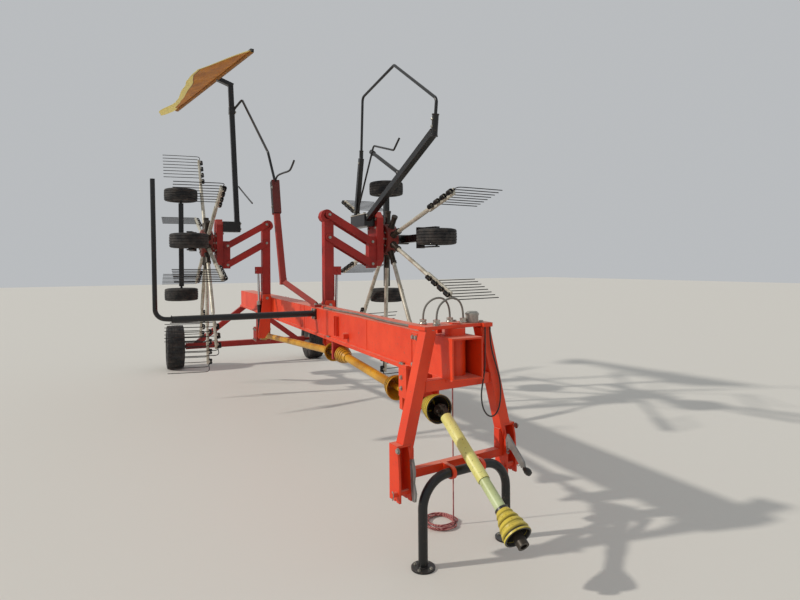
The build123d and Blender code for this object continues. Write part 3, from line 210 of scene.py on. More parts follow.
def patchy_finish(name, clean, dirty, patches, surface, relief=None, stops=None):
    """A material that goes from a clean colour to a dirty one in patches.

    The patches are a noise, sharpened between two stops where it has them. Its relief is a
    second, finer noise with the strength and the depth of its bumps."""
    finish = new_finish(name)
    place = add_node(finish, "TexCoord").outputs["Object"]
    share = add_node(finish, "TexNoise", patches, {"Vector": place}).outputs["Fac"]
    if stops:
        share = add_node(finish, "ValToRGB", {"stops": stops}, {"Fac": share}).outputs["Color"]
    tone = add_node(finish, "MixRGB", {"Color1": linear(clean), "Color2": linear(dirty)},
                    {"Fac": share}).outputs["Color"]
    links = {"Base Color": tone}
    if relief:
        grain, bumps = relief
        height = add_node(finish, "TexNoise", grain, {"Vector": place}).outputs["Fac"]
        links["Normal"] = add_node(finish, "Bump", bumps, {"Height": height}).outputs[0]
    skin = add_node(finish, "BsdfPrincipled", surface, links)
    add_node(finish, "OutputMaterial", None, {"Surface": skin.outputs[0]})
    return finish


# Extruded PVC has a soft sheen; dust lies on it in patches of about 30 mm
black_pvc = patchy_finish("black_pvc", "#0E0F11", "#3A3733", {"Scale": 30, "Detail": 4},
                          {"Roughness": 0.4})
cable_route = [(184, 1261.1), (184, 1180), (182, 1090), (179, 1002), (163, 932), (150, 866),
               (158, 800), (182, 750), (220, 724), (258, 728), (288, 762), (302, 818),
               (305, 884), (294, 954), (270, 1024), (242, 1096), (222, 1180), (222, 1261.1)]
cable = lay_cord("lamp_cable", [at_hitch(52, across, height) for across, height in cable_route],
                 0.009, black_pvc, "rubber", "headstock", "cable_loop")

# Oil hoses: grey rubber with a cloth-marked cover, 16 mm along the top of the beam, and two
# of 12 mm that arch over the headstock's plate from their glands to the parked couplings.
# The cover is dull and grimy; its cloth marks are 2 to 3 mm apart
hose_rubber = patchy_finish("hose_rubber", "#8E8C84", "#4B4945", {"Scale": 14, "Detail": 6},
                            {"Roughness": 0.7},
                            relief=({"Scale": 420, "Detail": 1}, {"Strength": 0.35, "Distance": 0.0006}))
hose_route = [(262, -30), (140, -30), (0, -38), (-170, -54), (-350, -62), (-540, -58), (-720, -45),
              (-900, -34), (-1080, -31), (-1260, -41), (-1440, -55), (-1620, -61), (-1780, -54),
              (-1900, -54)]
hose = lay_cord("beam_hose", [spot(along, across, 1228.1) for along, across in hose_route], 0.016,
                hose_rubber, "hose", "chassis", "hose_beam")

# Each coupler hose: its name and where its gland stands on the plate (ahead, across)
coupler_glands = (("rear", -86, -165), ("front", -16, -120))
# The arch that both hoses make from the gland: (ahead, across, rise)
hose_arch = [(0, 0, 0), (0, 0, 62), (14, 57, 119), (16, 137, 122), (0, 194, 62), (0, 194, 0)]
for name, ahead, across in coupler_glands:
    route = [at_hitch(ahead + further, across + aside, 1315.2 + rise)
             for further, aside, rise in hose_arch]
    hose = lay_cord("coupler_hose_" + name, route, 0.012, hose_rubber, "hose", "headstock",
                    "hose_coupler_" + name)

# Chassis: a welded box beam on a wider bottom flange, sprayed in orange-red enamel over
# primer. Its doublers, hangers and brackets are welded on, so their seams show as beads.
def enamel(name, fresh, weathered, bleached_and_lit_top, shine):
    """Sprayed enamel on steel: patchy, with bleaching, dust and a painted sky highlight on top, chipped at
    the edges.
    """
    paint = new_finish(name)
    place = add_node(paint, "TexCoord").outputs["Object"]
    face = add_node(paint, "NewGeometry").outputs["Normal"]
    # Weathering in patches of about 400 mm
    patches = add_node(paint, "TexNoise", {"Scale": 2.4, "Detail": 6, "Roughness": 0.62},
                       {"Vector": place}).outputs["Fac"]
    patchy = add_node(paint, "ValToRGB", {"stops": ((0.38, 0), (0.68, 1))}, {"Fac": patches})
    tone = add_node(paint, "MixRGB", {"Color1": linear(fresh), "Color2": linear(weathered)},
                    {"Fac": patchy.outputs["Color"]}).outputs["Color"]
    # Bleaching and dust on what faces the sky, and with them a painted highlight from the sky on these
    # tops
    upward = add_node(paint, "SeparateXYZ", None, {"Vector": face}).outputs["Z"]
    on_top = add_node(paint, "MapRange", {"From Min": 0.55, "From Max": 0.98, "To Max": 1.5},
                      {"Value": upward}).outputs["Result"]
    streaks = add_node(paint, "TexNoise", {"Scale": 9, "Detail": 5}, {"Vector": place}).outputs["Fac"]
    top_bleach_and_highlight = add_node(paint, "Math", {"operation": "MULTIPLY"}, {0: on_top, 1: streaks})
    tone = add_node(paint, "MixRGB", {"Color2": linear(bleached_and_lit_top)},
                    {"Fac": top_bleach_and_highlight.outputs[0], "Color1": tone}).outputs["Color"]
    # Splashes of dirt, 10 to 20 mm across
    splash = add_node(paint, "TexNoise", {"Scale": 55, "Detail": 4}, {"Vector": place}).outputs["Fac"]
    splashes = add_node(paint, "ValToRGB", {"stops": ((0.62, 0), (0.78, 0.55))}, {"Fac": splash})
    tone = add_node(paint, "MixRGB", {"Color2": linear("#6F5A48")},
                    {"Fac": splashes.outputs["Color"], "Color1": tone}).outputs["Color"]
    # Edges rounded by 3 mm, where the paint is chipped down to the primer
    rounded = add_node(paint, "Bevel", {"samples": 4, "Radius": 0.003}).outputs[0]
    flatness = add_node(paint, "VectorMath", {"operation": "DOT_PRODUCT"},
                        {0: rounded, 1: face}).outputs["Value"]
    edge = add_node(paint, "MapRange", {"From Min": 0.995, "From Max": 0.88},
                    {"Value": flatness}).outputs["Result"]
    chipped = add_node(paint, "Math", {"operation": "MULTIPLY"}, {0: edge, 1: splash}).outputs[0]
    tone = add_node(paint, "MixRGB", {"Color2": linear("#5B3328")},
                    {"Fac": chipped, "Color1": tone}).outputs["Color"]
    # The run of the spray gun, drawn at 6 mm so that it shows
    peel = add_node(paint, "TexNoise", {"Scale": 160, "Detail": 2}, {"Vector": place}).outputs["Fac"]
    skin = add_node(paint, "Bump", {"Strength": 0.12, "Distance": 0.001},
                    {"Height": peel, "Normal": rounded})
    gloss = add_node(paint, "MapRange", {"To Min": shine, "To Max": shine + 0.3},
                     {"Value": patches}).outputs["Result"]
    coat = add_node(paint, "BsdfPrincipled", None,
                    {"Base Color": tone, "Roughness": gloss, "Normal": skin.outputs[0]})
    add_node(paint, "OutputMaterial", None, {"Surface": coat.outputs[0]})
    return paint


def dress(finish, *nodes):
    """Gives pieces of the frame their finish."""
    for node in nodes:
        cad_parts[node].material_slots[0].material = finish


orange_enamel = enamel("orange_red_enamel", "#E8420E", "#D2300B", "#E08E78", 0.36)
# A darker copy of the red enamel, partly older paint and partly painted shade, for the booms, heads and
# parts under the beam
red_enamel = enamel("weathered_and_shaded_red_enamel", "#B02015", "#8A1711", "#BB6052", 0.4)
dress(orange_enamel, "main_beam", "boom_brackets", "bearing_front")
dress(red_enamel, "bearing_middle", "splitter_gearbox", "transport_axle")

# Bolts and weld beads: zinc-plated hexagon bolts on washers, and seams laid by hand that
# were painted with the steel. One bolt and one way of laying a bead serve the whole rake.
# Bright zinc has a soft metal shine, dulled to grey in spots of about 15 mm
zinc = patchy_finish("zinc_plated_steel", "#C6C5BD", "#7D776C", {"Scale": 70, "Detail": 4},
                     {"Metallic": 0.85, "Roughness": 0.38})


def join(pieces):
    """Makes one piece of several."""
    bpy.ops.object.select_all(action="DESELECT")
    for piece in pieces:
        piece.select_set(True)
    bpy.context.view_layer.objects.active = pieces[0]
    bpy.ops.object.join()
    return bpy.context.object


def copy_to(piece, placing):
    """A copy with a mesh of its own, at another place."""
    twin = piece.copy()
    twin.data = piece.data.copy()
    bpy.context.scene.collection.objects.link(twin)
    twin.matrix_world = placing @ piece.matrix_world
    return twin


def upright_on(foot, way, size=1.0, turn=0.0):
    """The placing that stands a piece made about Z on a foot point, along a direction."""
    return (Matrix.Translation(foot) @ Vector(way).to_track_quat("Z", "Y").to_matrix().to_4x4()
            @ Matrix.Rotation(turn, 4, "Z") @ Matrix.Scale(size, 4))


def circle(count, radius, start=0.0, closed=False):
    """Even places on a circle, as pairs; a closed one ends where it started."""
    angles = [math.tau * number / count + start for number in range(count + closed)]
    return [(radius * math.cos(angle), radius * math.sin(angle)) for angle in angles]


def keep_faces(piece, test):
    """Leaves the piece in edit mode with only those faces selected that pass the test."""
    pick(piece)
    bpy.ops.object.mode_set(mode="EDIT")
    bpy.ops.mesh.select_mode(type="FACE")
    bpy.ops.mesh.select_all(action="DESELECT")
    bpy.ops.object.mode_set(mode="OBJECT")
    for side in piece.data.polygons:
        side.select = test(side.normal)
    bpy.ops.object.mode_set(mode="EDIT")


def make_bolt():
    """One bolt of 1 m across, its head on a washer; each copy is scaled to its size."""
    bpy.ops.mesh.primitive_cylinder_add(vertices=14, radius=0.72, depth=0.12, location=(0, 0, 0.06))
    washer = bpy.context.object
    bpy.ops.mesh.primitive_cylinder_add(vertices=6, radius=0.55, depth=0.4, location=(0, 0, 0.3))
    head = bpy.context.object
    keep_faces(head, lambda normal: normal.z > 0.9)
    bpy.ops.mesh.inset(thickness=0.1)
    bpy.ops.transform.translate(value=(0, 0, 0.05))
    bpy.ops.object.mode_set(mode="OBJECT")
    return join([washer, head])


bolt = make_bolt()


def fasten(name, body, size, places):
    """Bolts of one size, in metres across, at (foot point, direction) places on one body."""
    bolts = [copy_to(bolt, upright_on(foot, way, size, 0.4 * number))
             for number, (foot, way) in enumerate(places)]
    return settle(join(bolts), name, zinc, "galvanised", body)


def as_mesh(bar):
    """Turns a drawn bar into a mesh."""
    pick(bar)
    bpy.ops.object.convert(target="MESH")
    return bpy.context.object


def weld(name, body, finish, radius, runs, slot="red_paint"):
    """Beads along seams, in ripples of 12 mm; each run is a list of points."""
    beads = []
    for run in runs:
        ripples = []
        for start, end in zip(run, run[1:]):
            count = max(1, int((end - start).length / 0.012))
            ripples += [start.lerp(end, step / count) for step in range(count)]
        beads.append([*ripples, run[-1]])
    seam = draw_bar(name, beads, radius, 1)
    for bead in seam.data.splines:
        for number, point in enumerate(bead.points):
            point.radius = 1.0 if number % 2 else 0.72
    return settle(as_mesh(seam), name, finish, slot, body)


weld("beam_weld_beads", "chassis", orange_enamel, 0.004, [
    *[[spot(x, side * 100, 985) for x in (565, 100, -6300)] for side in (-1, 1)],
    *[[spot(x, -114, z) for z in (990, 1200)] for x in (90, 170)],
    [spot(-700, -100, z) for z in (990, 1216)],
    [spot(426 + x, y, 1221) for x, y in circle(24, 61, closed=True)],
    *[[spot(x, side * 118, z) for z in (960, 1222)]
      for x in (-2510, -2370, -4130, -3990) for side in (-1, 1)]])
fasten("beam_bolts", "chassis", 0.022, [
    *[(spot(x, side * 114, z), (0, side, 0))
      for side in (-1, 1) for x in (108, 152) for z in (1010, 1180)],
    *[(spot(x, side * 112, 985), (0, 0, 1)) for x in (-75, -45, -1615, -1585) for side in (-1, 1)],
    *[(spot(-50, side * 120, z), (0, side, 0)) for z in (900, 830) for side in (-1, 1)],
    *[(spot(x, -116, z), (0, -1, 0)) for x in (-2065, -2015) for z in (1125, 1195)],
    *[(spot(x, y, 1245), (0, 0, 1)) for x in (-2215, -2085) for y in (-82, -38)]])
fasten("gearbox_bolts", "chassis", 0.026, [
    *[(spot(-5150 + 133 * end, y, 610 + z), (end, 0, 0))
      for end in (-1, 1) for y, z in circle(4, 62, math.radians(45))],
    *[(spot(-5150 + x, side * 101, 610 + z), (0, side, 0))
      for x in (-85, 0, 85) for z in (-70, 80) for side in (-1, 1)]])

# Transport wheels and the small wheels under the rotors: cross-ply implement tyres with
# moulded ribs round the tread, on pressed steel rims that are bolted to their hubs.
# Worn rubber is dull and finely grained at 4 mm; dried mud lies on it in patches of 90 mm
tyre_rubber = patchy_finish("worn_tyre_rubber", "#1B1B1D", "#57504A",
                            {"Scale": 11, "Detail": 8, "Roughness": 0.65}, {"Roughness": 0.82},
                            relief=({"Scale": 260, "Detail": 2}, {"Strength": 0.4, "Distance": 0.0015}),
                            stops=((0.42, 0), (0.72, 0.8)))
rim_paint = enamel("grey_rim_enamel", "#6E6F6C", "#565451", "#8A857A", 0.4)


def spin_outline(outline, steps=48):
    """Spins a closed outline of (distance along Z, radius) points, in metres, about Z."""
    bpy.ops.mesh.primitive_circle_add(vertices=len(outline), location=(0, 0, 0))
    piece = bpy.context.object
    for corner, (way, radius) in zip(piece.data.vertices, outline):
        corner.co = (radius, 0, way)
    bpy.ops.object.mode_set(mode="EDIT")
    bpy.ops.mesh.select_all(action="SELECT")
    bpy.ops.mesh.spin(steps=steps, angle=math.tau, center=(0, 0, 0), axis=(0, 0, 1))
    bpy.ops.mesh.select_all(action="SELECT")
    bpy.ops.mesh.remove_doubles(threshold=0.00005)
    bpy.ops.mesh.normals_make_consistent(inside=False)
    bpy.ops.object.mode_set(mode="OBJECT")
    bpy.ops.object.shade_smooth_by_angle(angle=math.radians(32))
    return piece


def make_tyre(radius, width, rim, grooves, depth):
    """A tyre about Z: bulging walls with a moulded ring, and a ribbed, slightly round tread."""
    half = width / 2

    def crown(way):
        """The tread's radius, which falls by 4 mm towards its shoulders."""
        return radius - 0.004 * (way / half) ** 2

    wall = [(-half * 0.78, rim), (-half * 0.9, rim + 0.01), (-half * 0.98, rim + 0.03),
            (-half, rim + (radius - rim) * 0.45), (-half, rim + (radius - rim) * 0.55),
            (-half * 0.975, rim + (radius - rim) * 0.6), (-half * 0.96, radius - 0.026),
            (-half * 0.9, radius - 0.011), (-half * 0.8, radius - 0.004)]
    tread = []
    for groove in grooves:
        way = groove * half
        tread += [(way - 0.004, crown(way)), (way - 0.0025, crown(way) - depth),
                  (way + 0.0025, crown(way) - depth), (way + 0.004, crown(way))]
    other_wall = [(-way, reach) for way, reach in reversed(wall)]
    return spin_outline(wall + tread + other_wall, 56)


def add_blocks(tyre, radius, width, count):
    """Bars moulded across both shoulders of a tyre."""
    bpy.ops.mesh.primitive_cube_add(size=1, location=(0, 0, 0))
    block = bpy.context.object
    block.scale = (0.011, 0.016, width * 0.2)
    bpy.ops.object.transform_apply(location=False, scale=True)
    keep_faces(block, lambda normal: normal.x > 0.9)
    bpy.ops.transform.resize(value=(1, 0.62, 0.86))
    bpy.ops.object.mode_set(mode="OBJECT")
    blocks = []
    for number in range(count):
        for side in (-1, 1):
            angle = math.tau * (number + 0.25 * side) / count
            shoulder = Matrix.Translation((radius - 0.0085, 0, side * width * 0.36))
            slant = Matrix.Rotation(side * 0.3, 4, "X")
            blocks.append(copy_to(block, Matrix.Rotation(angle, 4, "Z") @ shoulder @ slant))
    bpy.data.objects.remove(block)
    return join([tyre, *blocks])


for name, side in (("left", 1), ("right", -1)):
    outward = upright_on(spot(-6350, side * 1135, 345), (0, side, 0))
    tyre = add_blocks(make_tyre(0.345, 0.26, 0.2, (-0.45, -0.15, 0.15, 0.45), 0.009),
                      0.345, 0.26, 30)
    tyre.matrix_world = outward
    settle(tyre, "road_tyre_" + name, tyre_rubber, "tyre", "transport_wheel_" + name,
           "transport_tyre_" + name)
    dress(rim_paint, "transport_rim_" + name)
    fasten("wheel_nuts_" + name, "transport_wheel_" + name, 0.02,
           [(outward @ Vector((x, y, 0.071)), (0, side, 0)) for x, y in circle(5, 0.048)])
    valve = spin_outline([(0, 0.0001), (0, 0.004), (0.028, 0.004), (0.028, 0.0055), (0.04, 0.005),
                          (0.04, 0.0001)], 10)
    valve.matrix_world = outward @ Matrix.Translation((0.15, 0.02, 0.03))
    settle(valve, "tyre_valve_" + name, black_pvc, "rubber", "transport_wheel_" + name)

# Each rotor: its name, its side of the rake and its hub's place along the chassis
rotors = (("left", 1, -2510), ("right", -1, -4130))
# The rotors' axes are this high while they are folded
rotor_height = 1920
# Each small wheel of a rotor: its name and its place from the hub (ahead, up)
small_wheels = (("upper", -600, 660), ("lower", -600, -660), ("front", 680, 0))
small_tyre = make_tyre(0.21, 0.165, 0.115, (-0.55, -0.2, 0.2, 0.55), 0.006)
for rotor, side, hub in rotors:
    for corner, ahead, up in small_wheels:
        wheel = f"{rotor}_{corner}"
        middle = (hub + ahead, side * 1140, rotor_height + up)
        tyre = copy_to(small_tyre, Matrix.Translation(spot(*middle)))
        settle(tyre, "small_tyre_" + wheel, tyre_rubber, "tyre", "runner_" + wheel,
               "runner_tyre_" + wheel)
        dress(rim_paint, "runner_rim_" + wheel)
        fasten("small_wheel_bolts_" + wheel, "runner_" + wheel, 0.014, [
            (spot(middle[0] + x, middle[1] + y, middle[2] + face * 2), (0, 0, face))
            for x, y in circle(4, 62, 0.4) for face in (-1, 1)])
bpy.data.objects.remove(small_tyre)

# Headstock: an A-frame of square tube on a swivel pin, with its hitch channels and the
# parking stand's ears welded on. Its top plate shows bleaching where boots and rain reach it,
# and a painted sky highlight.
dress(orange_enamel, "headstock", "hitch_channels")
plate_top, leg_foot = 1285.1, 570
leg_slope = 180 / (plate_top - leg_foot)


def leg_half(height, outer):
    """How far across a leg's outer or inner face is at a height."""
    return 195 + leg_slope * (plate_top - height) + (36 if outer else -36)


def hitch_way(ahead, across, up):
    """A direction on the headstock."""
    return at_hitch(ahead, across, up) - at_hitch(0, 0, 0)


weld("headstock_weld_beads", "headstock", orange_enamel, 0.004, [
    *[[at_hitch(x, side * leg_half(1265, outer), 1264) for x in (39, -31)]
      for side in (-1, 1) for outer in (False, True)],
    *[[at_hitch(40, side * leg_half(980, False), z) for z in (921, 984)] for side in (-1, 1)],
    *[[at_hitch(x, side * 343, 664) for x in (-31, 39)] for side in (-1, 1)],
    *[[at_hitch(28, side * y, 467) for y in (96, 114)] for side in (-1, 1)],
    [at_hitch(x, y, 1286) for x, y in circle(24, 32, closed=True)]])
fasten("headstock_bolts", "headstock", 0.024, [
    *[(at_hitch(ahead, across, 1285), (0, 0, 1))
      for ahead, across in ((-96, -60), (-96, 70), (16, -150), (16, 185))],
    *[(at_hitch(52, side * 426, 640), hitch_way(0, side, 0)) for side in (-1, 1)],
    *[(at_hitch(94, side * 117, 476), hitch_way(0, side, 0)) for side in (-1, 1)]])

# Quick couplings: nickel-plated steel plugs of the two hoses, parked in blocks on the top
# plate, beside the grey round socket of the rear lamps.
# Nickel plating is a smooth, warm white metal, stained in spots of about 8 mm
plated = patchy_finish("nickel_plated_steel", "#D9D6CC", "#8F897C", {"Scale": 120, "Detail": 3},
                       {"Metallic": 0.9, "Roughness": 0.3})
collar = spin_outline([(0, 0.0155), (0.0, 0.021), (0.006, 0.023), (0.012, 0.021), (0.013, 0.018),
                       (0.02, 0.018), (0.021, 0.0205), (0.029, 0.0205), (0.03, 0.0155)], 20)
couplings = [copy_to(collar, upright_on(at_hitch(ahead, across + aside, 1285.2), (0, 0, 1)))
             for name, ahead, across in coupler_glands for aside in (0, 194)]
settle(join(couplings), "parked_couplings", plated, "shaft_steel", "headstock")
bpy.data.objects.remove(collar)

# Moulded ABS keeps an even, half-dull skin, scuffed in spots of about 10 mm
socket_grey = patchy_finish("grey_abs", "#B9B7AF", "#77736A", {"Scale": 90, "Detail": 5},
                            {"Roughness": 0.5})
lamp_socket = spin_outline([(0, 0.0001), (0, 0.034), (0.008, 0.038), (0.04, 0.038), (0.046, 0.041),
                            (0.056, 0.041), (0.058, 0.036), (0.066, 0.03), (0.068, 0.0001)], 28)
lamp_socket.matrix_world = upright_on(at_hitch(-14, 140, 1285.2), (0, 0, 1))
settle(lamp_socket, "lamp_socket", socket_grey, "rubber", "headstock")

# Catches: levers of cast steel, left unpainted, that snap over the tractor's link ends. The
# open one on the left ends in a black moulded knob. Lynch pins hold the hitch pins.
# Sand casting leaves a dull grey skin with 4 mm pits, and rust comes in patches of 50 mm
cast_steel = patchy_finish("cast_steel", "#A3A5A5", "#6B625A", {"Scale": 20, "Detail": 6},
                           {"Metallic": 0.45, "Roughness": 0.5},
                           relief=({"Scale": 240, "Detail": 4}, {"Strength": 0.5, "Distance": 0.001}))
dress(cast_steel, "hitch_catches")
knob = spin_outline([(0, 0.0001), (0, 0.012), (0.01, 0.014), (0.022, 0.02), (0.04, 0.021),
                     (0.052, 0.016), (0.057, 0.0001)], 20)
knob.matrix_world = upright_on(at_hitch(197, 347, 438), hitch_way(60, 0, -22))
settle(knob, "catch_knob", black_pvc, "rubber", "headstock")
weld("catch_springs", "headstock", cast_steel, 0.003, [
    [at_hitch(64, side * 347 + 9 * math.cos(0.9 * k), 560 - 2.5 * k + 9 * math.sin(0.9 * k))
     for k in range(30)] for side in (-1, 1)], "shaft_steel")
weld("lynch_pins", "headstock", zinc, 0.0025, [
    [at_hitch(x, side * y, z) for x, y, z in (
        (33, 455, 425), (33, 455, 385), (42, 457, 380), (52, 458, 392), (52, 458, 414),
        (42, 457, 428), (33, 455, 425))] for side in (-1, 1)], "galvanised")

# Parking stand: one bent steel tube in gloss black enamel, scuffed grey where it has been
# dragged over gravel, on two round pressed feet.
black_enamel = enamel("black_enamel", "#0B0C0D", "#141517", "#3B3937", 0.16)
dress(black_enamel, "parking_stand")
fasten("stand_foot_bolts", "stand", 0.014, [
    (at_hitch(94 + x, side * 300 + y, 10), (0, 0, 1))
    for side in (-1, 1) for x, y in circle(4, 48, 0.5)])
weld("stand_weld_beads", "stand", black_enamel, 0.004, [
    [at_hitch(94 + x, side * 300 + y, 12) for x, y in circle(20, 27, closed=True)]
    for side in (-1, 1)], "black_paint")

# Drive shafts: steel shafts that turn inside plastic guards. A guard is a smooth extruded
# tube with a ribbed, blow-moulded bell at its end, of yellow polyethylene that the sun has
# paled at the front; the shafts further back get a darker copy of it as painted shade.
def guard_plastic(name, fresh, dirty, soil):
    """Polyethylene: a soft low gloss, clouded in patches of 200 mm, with oily specks."""
    plastic = new_finish(name)
    place = add_node(plastic, "TexCoord").outputs["Object"]
    clouds = add_node(plastic, "TexNoise", {"Scale": 5, "Detail": 5}, {"Vector": place}).outputs["Fac"]
    cloudy = add_node(plastic, "ValToRGB", {"stops": ((0.4, 0), (0.7, 1))}, {"Fac": clouds})
    tone = add_node(plastic, "MixRGB", {"Color1": linear(fresh), "Color2": linear(dirty)},
                    {"Fac": cloudy.outputs["Color"]}).outputs["Color"]
    # Specks of about 10 mm
    speck = add_node(plastic, "TexNoise", {"Scale": 95, "Detail": 3}, {"Vector": place}).outputs["Fac"]
    specks = add_node(plastic, "ValToRGB", {"stops": ((0.6, 0), (0.7, soil))}, {"Fac": speck})
    tone = add_node(plastic, "MixRGB", {"Color2": linear("#2C2617")},
                    {"Fac": specks.outputs["Color"], "Color1": tone}).outputs["Color"]
    # Painted shade in the grooves, from ambient occlusion
    hollow = add_node(plastic, "AmbientOcclusion", {"samples": 6, "Distance": 0.02}).outputs["AO"]
    grooves = add_node(plastic, "MapRange", {"From Min": 0.9, "From Max": 0.45, "To Max": 0.85},
                       {"Value": hollow}).outputs["Result"]
    tone = add_node(plastic, "MixRGB", {"Color2": linear("#3A2F14")},
                    {"Fac": grooves, "Color1": tone}).outputs["Color"]
    wavy = add_node(plastic, "Bump", {"Strength": 0.2, "Distance": 0.001}, {"Height": speck})
    moulded = add_node(plastic, "BsdfPrincipled", {"Roughness": 0.42},
                       {"Base Color": tone, "Normal": wavy.outputs[0]})
    add_node(plastic, "OutputMaterial", None, {"Surface": moulded.outputs[0]})
    return plastic


bell_yellow = guard_plastic("yellow_polyethylene", "#D8C444", "#C2AE48", 0.5)
pale_yellow = guard_plastic("sunned_yellow_polyethylene", "#DDD886", "#CDC45F", 0.45)
pale_lime = guard_plastic("paled_lime_polyethylene", "#AEB678", "#BFCB9C", 0.35)
# A darker copy of the yellow, as painted shade for the shafts under the beam
ochre_yellow = guard_plastic("shaded_yellow_polyethylene", "#CF9B22", "#A87418", 0.7)
# Forged steel under a film of oil is nearly black, with brown patches of 25 mm
dark_steel = patchy_finish("oiled_forged_steel", "#1B1917", "#4E453A", {"Scale": 40, "Detail": 5},
                           {"Metallic": 0.5, "Roughness": 0.45})


def make_bell(mouth, throat, wide, narrow, ribs, wall=0.005):
    """A bell's wall about Z from mouth to throat: rolled lip, rounded ribs, open inside."""
    step = (throat - mouth) / (ribs + 0.5)
    # One rib: its points as a share of the step, and how far they rise from the flare
    rib = ((0.3, 0), (0.42, -0.007), (0.54, -0.008), (0.66, -0.002), (0.8, 0.0025), (1.0, 0.001))
    outer = [(mouth, wide - wall * 0.6), (mouth + step * 0.04, wide)]
    for number in range(ribs):
        for share, rise in rib:
            way = mouth + step * (number + share)
            flare = ((way - mouth) / (throat - mouth)) ** 1.5
            outer.append((way, wide + (narrow - wide) * flare + rise))
    outer.append((throat, narrow))
    inner = [(way, reach - wall) for way, reach in outer[::4]] + [(throat, narrow - wall)]
    return spin_outline(outer + inner[::-1], 48)


def make_shade_cone(mouth, throat, wide, narrow):
    """A black cone inside a bell, as painted shade within it."""
    return spin_outline([(mouth, wide - 0.002), (mouth, wide - 0.0095),
                         (throat, narrow - 0.011), (throat, narrow - 0.0095)], 40)


# The front shaft hangs down 31 degrees from its joint; lengths run down it from the joint
droop = math.radians(31)
shaft_way = Vector((math.cos(droop), 0, -math.sin(droop)))
joint = spot(270, 0, 745)


def guard_part(piece, name, finish, slot="guard_plastic", *nodes):
    """Stands a piece made about Z on the front shaft's axis, and settles it there."""
    piece.matrix_world = upright_on(joint, shaft_way)
    settle(piece, name, finish, slot, "front_shaft", *nodes)


tube = spin_outline([(0.052, 0.0185), (0.052, 0.034), (0.055, 0.035), (0.515, 0.035), (0.52, 0.0338),
                     (0.52, 0.0302), (0.1, 0.0302), (0.1, 0.0185)], 36)
guard_part(tube, "front_guard_tube", pale_yellow, "guard_plastic", "front_shaft")
tube = spin_outline([(0.51, 0.026), (0.51, 0.0301), (0.716, 0.0301), (0.718, 0.028), (0.718, 0.026)], 36)
guard_part(tube, "inner_guard_tube", pale_lime)
guard_part(make_bell(0.86, 0.71, 0.075, 0.036, 4), "yoke_end_bell", bell_yellow)
# A black cone inside the bell, as painted shade
guard_part(make_shade_cone(0.8605, 0.73, 0.075, 0.042), "yoke_end_shade_cone", black_pvc, "rubber")
band = spin_outline([(0.7, 0.031), (0.7, 0.0375), (0.716, 0.0375), (0.716, 0.031)], 32)
guard_part(band, "bell_clamp_band", black_pvc, "rubber")
dress(dark_steel, "front_yoke")

# The fork of its joint: two forged ears on a web, each with a bore for the cross
core = spin_outline([(0.04, 0.0001), (0.04, 0.018), (0.84, 0.018), (0.84, 0.0001)], 20)
bpy.ops.mesh.primitive_cube_add(size=1, location=(0, 0, 0.046))
web = bpy.context.object
web.scale = (0.024, 0.072, 0.012)
fork = [core, web]
for side in (-1, 1):
    ear = spin_outline([(-0.006, 0.0101), (-0.006, 0.0175), (0.006, 0.0175), (0.006, 0.0101)], 24)
    ear.matrix_world = (Matrix.Translation((0, side * 0.03, 0))
                        @ Matrix.Rotation(math.radians(90), 4, "X"))
    bpy.ops.mesh.primitive_cube_add(size=1, location=(0, side * 0.03, 0.029))
    arm = bpy.context.object
    arm.scale = (0.022, 0.012, 0.03)
    fork += [ear, arm]
guard_part(join(fork), "front_shaft_fork", dark_steel, "shaft_steel")

# The short shaft behind the joint: its bell opens towards the tractor round the fork
bearing = spot(-60, 0, 741)
bell = make_bell(0.234 + 0.06, 0.074 + 0.06, 0.09, 0.041, 5)
bell.matrix_world = upright_on(bearing, joint - bearing)
settle(bell, "joint_bell", bell_yellow, "guard_plastic", "chassis", "input_shaft")
# A black cone inside the joint's bell, as painted shade
shade_cone = make_shade_cone(0.2945, 0.16, 0.09, 0.052)
shade_cone.matrix_world = upright_on(bearing, joint - bearing)
settle(shade_cone, "joint_bell_shade_cone", black_pvc, "rubber", "chassis")
shaft = spin_outline([(0.0452, 0.0001), (0.0452, 0.032), (0.105, 0.032), (0.115, 0.03),
                      (0.132, 0.035), (0.14, 0.035), (0.142, 0.018), (0.28, 0.018),
                      (0.28, 0.034), (0.292, 0.036), (0.292, 0.0001)], 28)
shaft.matrix_world = upright_on(bearing, (1, 0, 0))
prongs = [shaft]
for side in (-1, 1):
    bpy.ops.mesh.primitive_cube_add(size=1, location=spot(255, 0, 745 + side * 30))
    prong = bpy.context.object
    prong.scale = (0.05, 0.024, 0.012)
    cup = spin_outline([(-0.006, 0.0001), (-0.006, 0.017), (0.006, 0.017), (0.006, 0.0001)], 20)
    cup.matrix_world = Matrix.Translation(spot(270, 0, 745 + side * 30))
    prongs += [prong, cup]
for way in ((0, 0, 1), (0, 1, 0)):
    pin = spin_outline([(-0.038, 0.0001), (-0.038, 0.008), (-0.036, 0.0098), (0.036, 0.0098),
                        (0.038, 0.008), (0.038, 0.0001)], 20)
    pin.matrix_world = upright_on(joint, way)
    prongs.append(pin)
settle(join(prongs), "joint_fork_and_cross", dark_steel, "shaft_steel", "chassis")

